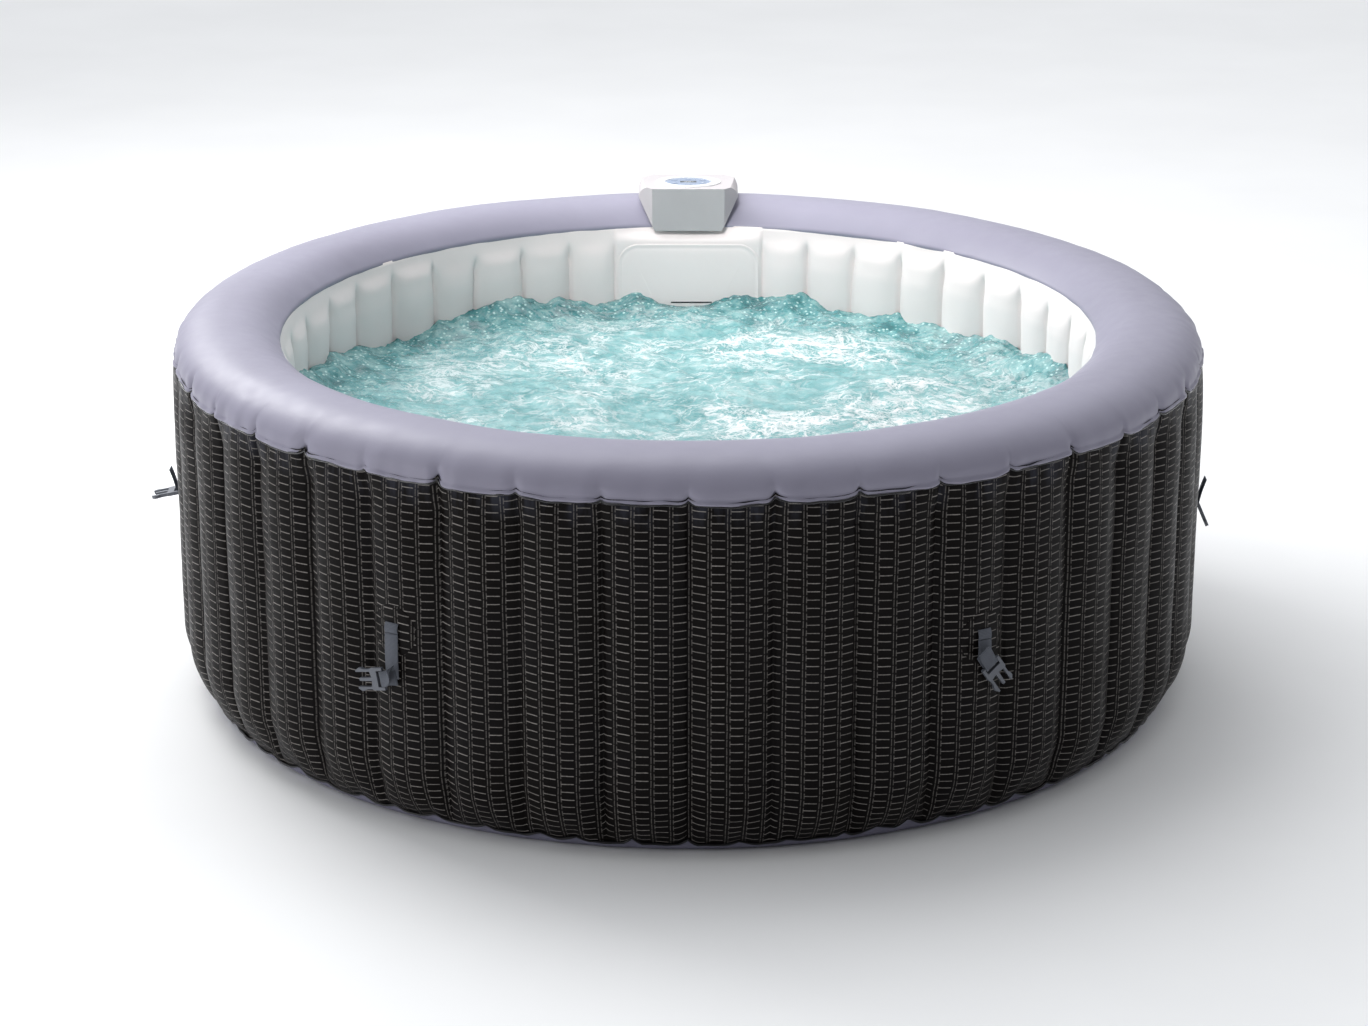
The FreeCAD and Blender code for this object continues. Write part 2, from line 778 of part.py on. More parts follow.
def make_case():
    solid, tools = case_half("front_case", size.case_front, size.case_split, True)
    tools += [
        cylinder("case_suction_hole", 22.3, 20, (size.pump_x, 715, size.water_z), "Y"),
        cylinder("case_return_hole", size.pipe_radius + 0.3, 20,
                 (size.return_x, 715, size.water_z), "Y"),
        cylinder("case_air_hole", size.hose_radius + 0.3, 20,
                 (size.hose_x, 770, size.case_low - 5))]
    sub_part("case_front", cut("case_front", solid, fuse("front_case_tools", *tools)))

    solid, tools = case_half("rear_case", size.case_split, size.case_back, False)
    bosses = []
    for index, (x, z) in enumerate(screw_spots()):
        bosses.append(cylinder(f"boss_{index}", 6, 19.5, (x, size.case_back, z), "Y"))
        tools.append(cylinder(f"boss_hole_{index}", size.screw_radius + 0.05, 60,
                              (x, size.case_back - 20, z), "Y"))
    tools.append(cylinder("case_gland_hole", 9.3, 30,
                          (size.gland_x, size.case_back - 20, size.gland_z), "Y"))
    for step in range(8):
        tools.append(box(f"case_vent_{step}", (-80, size.case_back - 10, 340 + 15 * step),
                         (80, size.case_back + 2, 346 + 15 * step)))
    rear = cut("case_rear", fuse("rear_case_body", solid, *bosses),
               fuse("rear_case_tools", *tools))
    sub_part("case_rear", rear)


def make_rear_cover():
    band = ring("cover_band", size.wall_radius + 3, size.wall_radius,
                size.cover_top - size.cover_low, (0, 0, size.cover_low))
    sector = box("cover_sector", (-size.cover_half, 800, size.cover_low),
                 (size.cover_half, 950, size.cover_top))
    tools = [cylinder("cover_gland_hole", 9.3, 60, (size.gland_x, 860, size.gland_z), "Y")]
    for index, (x, z) in enumerate(screw_spots()):
        tools.append(cylinder(f"cover_hole_{index}", size.screw_radius + 0.3, 60, (x, 860, z), "Y"))
    for step in range(8):
        tools.append(box(f"cover_vent_{step}", (-85, 860, 340 + 15 * step),
                         (85, 950, 346 + 15 * step)))
    cover = cut("rear_cover", common("cover_plate", band, sector), fuse("cover_tools", *tools))
    sub_part("rear_cover", cover)

    head_y = 894.2
    screws = []
    for index, (x, z) in enumerate(screw_spots()):
        screws.append(fuse(
            f"screw_{index}",
            cylinder(f"shank_{index}", size.screw_radius, 20, (x, head_y - 20, z), "Y"),
            cylinder(f"head_{index}", 4.5, 2.5, (x, head_y, z), "Y")))
    sub_part("cover_screws", group("cover_screws", *screws))

    spot = (size.gland_x, 866, size.gland_z)
    barrel = cylinder("gland_barrel", 9, 46, spot, "Y")
    nut = cylinder("gland_nut", 13, 7, (size.gland_x, 899.2, size.gland_z), "Y")
    bore = cylinder("gland_bore_tool", size.gland_bore, 60, (size.gland_x, 860, size.gland_z), "Y")
    sub_part("cord_gland", cut("cord_gland", fuse("gland_body", barrel, nut), bore))


def make_boards():
    board = box("board_sheet", (20, 790, 290), (132, 791.6, 470))
    mounted = [board]
    for index, (x, z, wide, tall, depth) in enumerate((
            (30, 300, 34, 40, 30), (72, 304, 20, 26, 18), (98, 304, 20, 26, 18),
            (34, 352, 44, 14, 10), (90, 350, 30, 30, 26), (40, 386, 18, 18, 4))):
        mounted.append(box(f"component_{index}", (x, 790 - depth, z), (x + wide, 790, z + tall)))
    for index, (x, z) in enumerate(((44, 298), (44, 462), (126, 298), (126, 462))):
        mounted.append(cylinder(f"board_post_{index}", 3, size.case_back - size.case_wall - 791.6,
                                (x, 791.6, z), "Y"))
    sub_part("main_board", fuse("main_board", *mounted))
    loom_low = 411
    under_panel = size.dial_z.value - 10
    loom = fuse("wire_loom", cylinder("loom_run", 4, under_panel - loom_low, (30, 795.7, loom_low)),
                box("loom_plug", (22, 791.7, 400), (38, 799.7, 412)))
    sub_part("wire_loom", loom)


def make_pump():
    x, z = size.pump_x, size.water_z
    stub = size.pipe_radius
    bore = stub - size.pipe_wall
    body_solid = fuse("volute_body", cylinder("volute_drum", size.pump_radius, 38, (x, 748, z), "Y"),
                      cylinder("volute_stub", stub, size.heater_z - 40 - z, (x, size.water_y, z)))
    shaft_hole = size.shaft_radius + size.shaft_play
    hollow = fuse("volute_hollow", cylinder("volute_room", size.pump_radius - 6, 28, (x, 752, z), "Y"),
                  cylinder("volute_eye", bore, 10, (x, 745, z), "Y"),
                  cylinder("volute_outlet", bore, 70, (x, size.water_y, z)),
                  cylinder("volute_shaft_hole", shaft_hole, 20, (x, 770, z), "Y"))
    sub_part("pump_volute", cut("pump_volute", body_solid, hollow))
    motor = cut("pump_motor", cylinder("pump_motor_can", 32, 70, (x, 786, z), "Y"),
                cylinder("pump_motor_bore", shaft_hole, 14, (x, 785, z), "Y"))
    sub_part("pump_motor", motor)
    blades = [cylinder("pump_disc", 28, 3, (x, 768, z), "Y"),
              cylinder("pump_shaft", size.shaft_radius, 28, (x, 768, z), "Y"),
              cylinder("pump_hub", 8, 12, (x, 757, z), "Y")]
    blades += blade_ring("pump", 6, 27, 11, x, 757, z)
    sub_part("pump_impeller", fuse("pump_impeller", *blades))


def blade_ring(name, count, reach, depth, x, y, z):
    """Straight blades round a hub whose axis is along Y."""
    blades = []
    for index in range(count):
        blade = box(f"{name}_blade_{index}", (0, 0, 0), (reach, depth, 2))
        spin = FreeCAD.Rotation(FreeCAD.Vector(0, 1, 0), index * 360 / count)
        edge = spin.multVec(FreeCAD.Vector(0, 0, -1))
        move(blade, x + edge.x, y, z + edge.z, spin)
        blades.append(blade)
    return blades


def make_heater():
    stub = size.pipe_radius
    y, z = size.water_y, size.heater_z
    solid = [cylinder("heater_can", 24, 180, (-78, y, z), "X")]
    hollow = [cylinder("heater_room", 22, 174, (-75, y, z), "X")]
    for name, x in (("in", size.pump_x), ("out", size.return_x)):
        solid.append(cylinder("heater_stub_" + name, stub, 40, (x, y, z - 40)))
        hollow.append(cylinder("heater_way_" + name, stub - size.pipe_wall, 41, (x, y, z - 41)))
    sub_part("heater_tube", cut("heater_tube", fuse("heater_solid", *solid),
                                fuse("heater_hollow", *hollow)))


def elbow_pipe(name, x, y, z, top, front, outer, wall):
    """A pipe that comes down to z and then turns forward to front."""
    def way(label, radius, spare):
        down = cylinder(label + "_down", radius, top - z + spare, (x, y, z))
        ball = doc.addObject("Part::Sphere", label + "_ball")
        bind(ball, "Radius", radius)
        move(ball, x, y, z)
        ahead = cylinder(label + "_ahead", radius, y - front + spare,
                         (x, sized(front) - spare, z), "Y")
        return fuse(label, down, ball, ahead)

    return cut(name, way(name + "_solid", outer, 0), way(name + "_hollow", outer - wall, 1))


def make_return_pipe():
    pipe = elbow_pipe("return_pipe", size.return_x, size.water_y, size.water_z,
                      size.heater_z - 40, size.panel_front, size.pipe_radius, size.pipe_wall)
    sub_part("return_pipe", pipe)
    face = size.panel_front
    disc = cylinder("grille_disc", 36, 8, (size.return_x, face - 8, size.water_z), "Y")
    slots = [cylinder("grille_room", 15, 5, (size.return_x, face - 5, size.water_z), "Y")]
    for step in range(-2, 3):
        slots.append(box(f"grille_slot_{step + 2}",
                         (size.return_x - 13, face - 9, size.water_z + 5.5 * step - 1.4),
                         (size.return_x + 13, face - 4, size.water_z + 5.5 * step + 1.4)))
    sub_part("outlet_grille", cut("outlet_grille", disc, fuse("grille_tools", *slots)))


def make_blower():
    x, z = size.blower_x, size.blower_z
    drum = cylinder("blower_drum", size.blower_radius, 50, (x, 745, z), "Y")
    stub = cylinder("blower_stub", 12, 60, (size.hose_x, 770, z - 65))
    shaft_hole = size.shaft_radius + size.shaft_play
    inner_face = size.case_front + size.case_wall
    posts = [cylinder(f"blower_post_{index}", 4, 745 - inner_face,
                      (x + reach, inner_face, z + rise), "Y")
             for index, (reach, rise) in enumerate(((-45, 30), (45, 30), (0, -52)))]
    hollow = fuse("blower_hollow",
                  cylinder("blower_room", size.blower_radius - 5, 44, (x, 748, z), "Y"),
                  cylinder("blower_eye", 25, 10, (x, 740, z), "Y"),
                  cylinder("blower_outlet", 9, 62, (size.hose_x, 770, z - 66)),
                  cylinder("blower_shaft_hole", shaft_hole, 20, (x, 785, z), "Y"))
    sub_part("blower_housing", cut("blower_housing", fuse("blower_solid", drum, stub, *posts), hollow))
    motor = cut("blower_motor", cylinder("blower_motor_can", 30, 56, (x, 795, z), "Y"),
                cylinder("blower_motor_bore", shaft_hole, 14, (x, 794, z), "Y"))
    sub_part("blower_motor", motor)
    blades = [cylinder("fan_disc", 48, 3, (x, 786, z), "Y"),
              cylinder("fan_shaft", size.shaft_radius, 19, (x, 786, z), "Y"),
              cylinder("fan_hub", 10, 33, (x, 753, z), "Y")]
    blades += blade_ring("fan", 10, 46, 33, x, 753, z)
    sub_part("blower_impeller", fuse("blower_impeller", *blades))


def make_air_hose():
    x, y = size.hose_x, 770
    outer = size.hose_radius
    valve_low, valve_top = 262, 300
    upper = ring("hose_upper", outer, outer - 2, size.blower_z - 65 - valve_top, (x, y, valve_top))
    lower = elbow_pipe("hose_lower", x, sized(y), size.hose_z, sized(valve_low), 695, outer, 2)
    sub_part("air_hose", group("air_hose", upper, lower))
    valve = ring("check_valve", 15, 6, valve_top - valve_low, (x, y, valve_low))
    sub_part("check_valve", valve)


# ---- filter, inflation valve and drain ----

def make_filter():
    x, z = size.pump_x, size.water_z
    face = size.panel_front
    solid = fuse("filter_base_solid", cylinder("filter_flange", 60, 4, (x, face - 4, z), "Y"),
                 cylinder("filter_tail", 22, 748 - face, (x, face, z), "Y"),
                 cylinder("filter_spigot", 20, 12, (x, face - 16, z), "Y"))
    bore = cylinder("filter_way", size.pipe_radius - size.pipe_wall, 90, (x, face - 20, z), "Y")
    sub_part("filter_base", cut("filter_base", solid, bore))

    pleats = body("filter_cartridge")
    profile = sketch_on(pleats, "XZ_Plane", "cartridge_profile")
    circle(profile, 0, 0, size.filter_radius)
    circle(profile, 0, 0, 20.5)
    pad = pleats.newObject("PartDesign::Pad", "cartridge_pad")
    pad.Profile = profile
    bind(pad, "Length", 85)
    groove = sketch_on(pleats, "XZ_Plane", "pleat_profile")
    depth = size.filter_radius - 14
    outline(groove, [(depth, 0), (size.filter_radius + 2, 3), (size.filter_radius + 2, -3)])
    pleat = pleats.newObject("PartDesign::Pocket", "pleat")
    pleat.Profile = groove
    pleat.Reversed = True
    bind(pleat, "Length", 81)
    row = pleats.newObject("PartDesign::PolarPattern", "pleat_row")
    row.Originals = [pleat]
    row.Axis = (origin_axis(pleats, "Y_Axis"), [""])
    row.Angle = 360
    row.Occurrences = 36
    pleats.Tip = row
    move(pleats, x, face - 7, z)
    sub_part("filter_cartridge", pleats)

    front = face - 101
    can = cylinder("cap_can", size.cap_radius, 96.6, (x, front, z), "Y")
    tools = [cylinder("cap_room", size.cap_radius - 2.5, 100, (x, front + 3, z), "Y")]
    for index in range(12):
        slot = box(f"cap_slot_{index}", (0, 0, 0), (80, 70, 7))
        spin = FreeCAD.Rotation(FreeCAD.Vector(0, 1, 0), index * 30)
        edge = spin.multVec(FreeCAD.Vector(0, 0, -3.5))
        move(slot, x + edge.x, front + 12, z + edge.z, spin)
        tools.append(slot)
    sub_part("filter_cap", cut("filter_cap", can, fuse("cap_tools", *tools)))


def make_inflation_valve():
    reach = size.wall_radius
    mouth = reach + size.valve_neck
    z = size.valve_z
    hinge_x = mouth + 1.8
    hinge_z = z + 26
    ears = [box(f"ear_{side}", (reach, 5.8 * side - 1.5, z + 20.4),
                (mouth + 4, 5.8 * side + 1.5, hinge_z + 3)) for side in (-1, 1)]
    pin = cylinder("valve_pin", 1.5, 14, (hinge_x, -7, hinge_z), "Y")
    barrel = reach - 23
    solid = fuse("valve_solid", cylinder("valve_barrel", 17, 26, (barrel, 0, z), "X"),
                 cylinder("valve_flange", 22, 3, (reach, 0, z), "X"),
                 cylinder("valve_mouth", 15, mouth - barrel, (barrel, 0, z), "X"), pin, *ears)
    bore = fuse("valve_bore",
                cylinder("valve_mouth_bore", size.valve_bore, 30, (reach + 3, 0, z), "X"),
                cylinder("valve_lead_in", size.valve_bore + 1.6, 10, (mouth - 1.5, 0, z), "X"),
                cylinder("valve_seat_bore", size.valve_bore - 1, 60, (barrel - 10, 0, z), "X"))
    valve = cut("inflation_valve", solid, bore)
    valve.Placement.Rotation = facing(VALVE_ANGLE)
    sub_part("inflation_valve", valve)

    seat = mouth + 0.3
    lid = fuse("cap_solid", cylinder("cap_disc", 20, 3, (seat, 0, z), "X"),
               cylinder("cap_boss", 13, 1.5, (seat + 3, 0, z), "X"),
               box("cap_lug", (seat, -4, z + 15), (seat + 3, 4, hinge_z)),
               cylinder("cap_knuckle", 3.2, 8, (hinge_x, -4, hinge_z), "Y"))
    pin_way = cylinder("cap_pin_way", 1.56, 16, (hinge_x, -8, hinge_z), "Y")
    cap = cut("inflation_cap", lid, pin_way)
    cap.Placement.Rotation = facing(VALVE_ANGLE)
    sub_part("inflation_cap", cap)


def make_drain():
    z = size.drain_z
    near = size.inner_radius - 1
    face = size.wall_radius + 0.2
    end = face + 19
    solid = fuse("drain_solid",
                 cylinder("drain_tube", size.drain_radius, end - near, (near, 0, z), "X"),
                 cylinder("drain_collar", 27, 4, (face, 0, z), "X"),
                 cylinder("drain_flange", 27, 4, (near - 4, 0, z), "X"))
    bore = fuse("drain_bore",
                cylinder("drain_mouth_bore", size.drain_radius - 2.5, 30, (end - 14.2, 0, z), "X"),
                cylinder("drain_way", size.drain_radius - 4, 260, (near - 10, 0, z), "X"))
    drain = cut("drain_fitting", solid, bore)
    drain.Placement.Rotation = facing(DRAIN_ANGLE)
    sub_part("drain_fitting", drain)
    lid = cut("drain_cap", cylinder("drain_cap_solid", 25, 16, (face + 6, 0, z), "X"),
              cylinder("drain_cap_room", size.drain_radius + 0.5, 20, (end - 19.3, 0, z), "X"))
    lid.Placement.Rotation = facing(DRAIN_ANGLE)
    sub_part("drain_cap", lid)


# ---- build, check and write ----

def check():
    doc.recompute()
    for thing in doc.Objects:
        if {"Invalid", "Error"} & set(thing.State):
            raise RuntimeError(f"{thing.Label} did not recompute: {thing.State}")
    for name, thing in parts.items():
        if thing.Shape.isNull() or not thing.Shape.isValid() or thing.Shape.Volume <= 0:
            raise RuntimeError(f"{name} has no valid solid")


def write():
    os.makedirs("parts", exist_ok=True)
    for name, thing in parts.items():
        thing.Shape.exportStep(f"parts/{name}.step")
        bounds = thing.Shape.BoundBox
        print(f"{name:20s} solids {len(thing.Shape.Solids):3d} volume {thing.Shape.Volume:12.1f}"
              f"  x {bounds.XMin:7.1f} {bounds.XMax:7.1f}  y {bounds.YMin:7.1f} {bounds.YMax:7.1f}"
              f"  z {bounds.ZMin:6.1f} {bounds.ZMax:6.1f}")


make_outer_wall()
make_inner_wall()
make_rim()
make_floor()
make_webs()
make_air_channel()
make_equipment_panel()
make_straps()
make_pod()
make_dial()
make_case()
make_rear_cover()
make_boards()
make_pump()
make_heater()
make_return_pipe()
make_blower()
make_air_hose()
make_filter()
make_inflation_valve()
make_drain()
check()
write()
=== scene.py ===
import json
import math

import bmesh
import bpy
import numpy as np
from mathutils import Matrix, Vector, noise
from mathutils.bvhtree import BVHTree


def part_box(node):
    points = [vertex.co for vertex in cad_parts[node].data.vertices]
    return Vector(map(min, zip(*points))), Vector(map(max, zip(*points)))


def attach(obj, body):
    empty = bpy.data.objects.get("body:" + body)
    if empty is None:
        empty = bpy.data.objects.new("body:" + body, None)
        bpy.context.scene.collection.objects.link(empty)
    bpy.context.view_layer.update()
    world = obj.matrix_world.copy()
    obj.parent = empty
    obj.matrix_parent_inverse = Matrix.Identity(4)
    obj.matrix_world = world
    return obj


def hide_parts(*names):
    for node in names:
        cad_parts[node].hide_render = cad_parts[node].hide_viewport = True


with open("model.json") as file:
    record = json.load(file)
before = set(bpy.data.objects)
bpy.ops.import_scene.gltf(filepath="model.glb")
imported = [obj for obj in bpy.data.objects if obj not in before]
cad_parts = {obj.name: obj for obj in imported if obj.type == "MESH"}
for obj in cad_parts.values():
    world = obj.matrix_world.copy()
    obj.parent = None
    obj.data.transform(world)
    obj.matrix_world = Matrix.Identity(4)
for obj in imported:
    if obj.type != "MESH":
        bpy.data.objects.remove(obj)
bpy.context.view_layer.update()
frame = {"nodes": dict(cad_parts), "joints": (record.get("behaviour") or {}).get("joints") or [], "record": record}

# An inflatable hot tub: air chamber skins, water, lifting straps and a control pod on
# the rim. Metres, z up, the bather's front at -y. Angles round the tub run from the
# front towards +x.

# ---- sizes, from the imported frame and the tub's own section ----

wall_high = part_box("outer_wall")[1]
rim_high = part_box("rim_top")[1]
liner_low, liner_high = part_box("inner_wall")
panel_low, panel_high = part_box("equipment_panel")
cover_low, cover_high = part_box("rear_cover")

BAYS = 42               # welded tubes round the outer wall
BACK = BAYS // 2        # the bay number of the back
BAY_STEPS = 22          # mesh columns in each tube
PITCH = 2 * math.pi / BAYS

WALL_R = wall_high.x
SEAM_R = rim_high.x     # the seam between wall and rim
SEAM_Z = wall_high.z + 0.0012
CREST_R = 0.800         # the ring along the rim's crest
CREST_Z = rim_high.z
LINER_R = 0.700
LINER_SEAM_R = 0.710    # the seam between rim and inner wall
LINER_SEAM_Z = liner_high.z
CHANNEL_R = 0.676
FOOT_R = 0.843
WELD_Z = 0.014          # the foot weld
FOOT_ARC = 0.157        # the wall's section: an arc up from the foot weld ...
FOOT_RISE = 0.107
SHOULDER_ARC = 0.787    # ... and a shallow one from here to the seam
SHOULDER_Z = 0.5
LIP_R = WALL_R - FOOT_ARC + math.sqrt(FOOT_ARC ** 2 - FOOT_RISE ** 2)

TUBE_DEPTH = 0.0175     # how far the wall's creases lie inside its tubes
TUBE_ROUND = 2.1        # 2 is a round tube, and more is flatter
LINER_DEPTH = 0.0135
PANEL_DEPTH = 0.004     # the same behind the equipment panel
PANEL_CORNER = 0.042
PANEL_LIFT = 0.0008     # the panel's skin off the CAD panel's face
SKIN = 0.001
WATER_Z = 0.460
WATER_LOW = 0.03
WATER_SIDE_R = 0.672    # of the water's side below the waves, and at its bottom
WATER_FOOT_R = 0.640
FILL_Z = 0.468          # the fill line on the panel, and its two ends
FILL_FROM = -0.034
FILL_TO = 0.046

# The openings in the two walls for the equipment at the back, which the cover and the
# panel hide: half width, bottom and top.
WALL_WINDOW = (0.117, 0.126, 0.484)
LINER_WINDOW = (0.10, 0.085, 0.535)
# The holes in the wall's skin for the fittings that pass through it.
FITTING_HOLES = {"inflation_valve": 0.0165, "drain_fitting": 0.0195}

UP = Vector((0, 0, 1))

rng = np.random.default_rng(11)


# ---- small tools ----

def smooth(low, high, value):
    """A soft step from 0 at low to 1 at high."""
    t = np.clip((np.asarray(value, float) - low) / (high - low), 0, 1)
    return t * t * (3 - 2 * t)


def wave(points, scale, seed):
    """Smooth noise from -1 to 1 at each point, with features about 1/scale across."""
    flat = np.asarray(points, float).reshape(-1, 3) * scale + seed * 17.31
    values = np.fromiter((noise.noise(Vector(p)) for p in flat), float, len(flat))
    return values.reshape(np.asarray(points).shape[:-1])


def polar(angle, radius, height):
    """Places round the tub's axis, as x, y and z."""
    angle, radius, height = np.broadcast_arrays(angle, radius, height)
    return np.stack([radius * np.sin(angle), -radius * np.cos(angle), height], -1)


def turn_gap(angle, at):
    """The signed angle from one place round the tub to another, the short way."""
    return (np.asarray(angle) - at + math.pi) % (2 * math.pi) - math.pi


def fitting_place(node):
    """A wall fitting's angle round the tub and its height."""
    low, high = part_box(node)
    middle = (low + high) / 2
    return math.atan2(middle.x, -middle.y), middle.z


def uv_grid(around, along):
    """A uv for every point of a grid: the way round the tub and along the section."""
    return np.stack(np.broadcast_arrays(around[None, :], along[:, None]), -1)


def face_middles(points):
    """The middle of each face's lower edge, in a closed grid."""
    return (points + np.roll(points, -1, 1))[:-1] / 2


def in_window(middle, half, low, high):
    """Which places lie in an opening at the back of a wall."""
    return (middle[..., 1] > 0) & (np.abs(middle[..., 0]) < half) & (
        middle[..., 2] > low) & (middle[..., 2] < high)


def linked(name, mesh):
    """A new object in the scene, with smooth shading."""
    mesh.polygons.foreach_set("use_smooth", np.ones(len(mesh.polygons), bool))
    mesh.update()
    piece = bpy.data.objects.new(name, mesh)
    bpy.context.scene.collection.objects.link(piece)
    return piece


def grid_piece(name, points, uv, closed=True, keep=None):
    """A quad mesh from rows of points, or only the quads to keep. uv has one more column
    than points when the rows are closed."""
    rows, cols = points.shape[:2]
    mesh = bpy.data.meshes.new(name)
    index = np.arange(rows * cols).reshape(rows, cols)
    right = np.roll(index, -1, 1) if closed else index[:, 1:]
    left = index if closed else index[:, :-1]
    quads = np.stack([left[:-1], right[:-1], right[1:], left[1:]], -1).reshape(-1, 4)
    span = cols if closed else cols - 1
    corner = np.stack([uv[:-1, :span], uv[:-1, 1:span + 1], uv[1:, 1:span + 1],
                       uv[1:, :span]], 2).reshape(-1, 4, 2)
    if keep is not None:
        chosen = keep.reshape(-1)
        quads, corner = quads[chosen], corner[chosen]
    used = np.unique(quads)
    remap = np.full(rows * cols, -1)
    remap[used] = np.arange(len(used))
    mesh.from_pydata(points.reshape(-1, 3)[used].tolist(), [], remap[quads].tolist())
    layer = mesh.uv_layers.new(name="UVMap")
    layer.data.foreach_set("uv", corner.astype(np.float32).ravel())
    return linked(name, mesh)


def mesh_piece(name, points, faces):
    mesh = bpy.data.meshes.new(name)
    mesh.from_pydata([tuple(p) for p in points], [], faces)
    return linked(name, mesh)


def skin(piece, thickness=SKIN):
    """Thickens a surface into a sheet, towards its back."""
    solid = piece.modifiers.new("skin", "SOLIDIFY")
    solid.thickness = thickness
    solid.offset = -1
    return piece


def finish_piece(piece, material, body="root", replaced=()):
    """Gives a piece its material and body, and hides the CAD nodes that it stands for."""
    piece.data.materials.clear()
    piece.data.materials.append(material)
    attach(piece, body)
    if replaced:
        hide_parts(*replaced)
    return piece


# ---- materials ----

class Nodes:
    """A Principled material and short calls for the nodes that feed it."""

    def __init__(self, name, roughness=0.5, specular=0.5, metallic=0.0):
        self.material = bpy.data.materials.new(name)
        self.material.use_nodes = True
        self.tree = self.material.node_tree
        self.tree.nodes.clear()
        self.output = self.tree.nodes.new("ShaderNodeOutputMaterial")
        self.shader = self.tree.nodes.new("ShaderNodeBsdfPrincipled")
        self.tree.links.new(self.shader.outputs[0], self.output.inputs[0])
        self.shader.inputs["Roughness"].default_value = roughness
        self.shader.inputs["Specular IOR Level"].default_value = specular
        self.shader.inputs["Metallic"].default_value = metallic

    def add(self, kind, inputs=None, **settings):
        node = self.tree.nodes.new(kind)
        for key, value in settings.items():
            setattr(node, key, value)
        for key, value in (inputs or {}).items():
            self.feed(node.inputs[key], value)
        return node

    def feed(self, socket, value):
        if isinstance(value, bpy.types.NodeSocket):
            self.tree.links.new(value, socket)
        else:
            socket.default_value = value

    def math(self, operation, a, b=0.0, clamp=False):
        node = self.add("ShaderNodeMath", {0: a, 1: b}, operation=operation)
        node.use_clamp = clamp
        return node.outputs[0]

    def plus(self, a, b):
        return self.math("ADD", a, b)

    def minus(self, a, b, clamp=False):
        return self.math("SUBTRACT", a, b, clamp)

    def times(self, a, b, clamp=False):
        return self.math("MULTIPLY", a, b, clamp)

    def uv(self):
        return self.add("ShaderNodeUVMap", uv_map="UVMap").outputs[0]

    def place(self):
        return self.add("ShaderNodeTexCoord").outputs["Object"]

    def split(self, vector):
        return self.add("ShaderNodeSeparateXYZ", {0: vector}).outputs

    def join(self, x, y):
        return self.add("ShaderNodeCombineXYZ", {0: x, 1: y}).outputs[0]

    def vector(self, operation, a, b):
        return self.add("ShaderNodeVectorMath", {0: a, 1: b}, operation=operation).outputs[0]

    def scaled(self, vector, scale):
        return self.vector("MULTIPLY", vector, scale)

    def noise(self, vector, scale, detail=3.0, roughness=0.5, distortion=0.0):
        node = self.add("ShaderNodeTexNoise", {
            "Vector": vector, "Scale": scale, "Detail": detail, "Roughness": roughness,
            "Distortion": distortion})
        return node.outputs[0]

    def ramp(self, value, *stops):
        node = self.add("ShaderNodeValToRGB", {0: value})
        marks = node.color_ramp.elements
        while len(marks) < len(stops):
            marks.new(0.5)
        for mark, (at, colour) in zip(marks, stops):
            mark.position = at
            mark.color = (*colour, 1)
        return node.outputs[0]

    def mix(self, amount, a, b):
        """A blend from a to b, each a socket or a plain colour."""
        node = self.add("ShaderNodeMix", data_type="RGBA")
        self.feed(node.inputs[0], amount)
        self.feed(node.inputs[6], a if isinstance(a, bpy.types.NodeSocket) else (*a, 1))
        self.feed(node.inputs[7], b if isinstance(b, bpy.types.NodeSocket) else (*b, 1))
        return node.outputs[2]

    def range(self, value, low, high, to_low, to_high):
        node = self.add("ShaderNodeMapRange", {
            0: value, 1: low, 2: high, 3: to_low, 4: to_high})
        return node.outputs[0]

    def bump(self, height, distance, under=None):
        node = self.add("ShaderNodeBump", {
            "Height": height, "Distance": distance, "Strength": 1.0})
        if under is not None:
            self.feed(node.inputs["Normal"], under)
        return node.outputs[0]

    def set(self, **values):
        """Feeds the shader's own sockets, with _ for the spaces in their names."""
        for key, value in values.items():
            self.feed(self.shader.inputs[key.replace("_", " ")], value)


def vinyl(name, light, dark, roughness, patch_scale=3.0, specular=0.4):
    """Welded PVC sheet: faint blotches, a fine embossed grain and slow dents."""
    n = Nodes(name, specular=specular)
    place = n.place()
    blotch = n.noise(place, patch_scale, 4, 0.55)
    fine = n.noise(place, 420, 2, 0.5)
    dents = n.noise(place, 16, 3, 0.5)
    n.set(Base_Color=n.ramp(blotch, (0.32, dark), (0.7, light)),
          Roughness=n.range(n.noise(place, 40, 3), 0.3, 0.7, roughness - 0.05,
                            roughness + 0.06),
          Normal=n.bump(fine, 0.00003, n.bump(dents, 0.0008)))
    return n.material


STRAND_COLUMNS = 192
ROW_PITCH = 0.0136


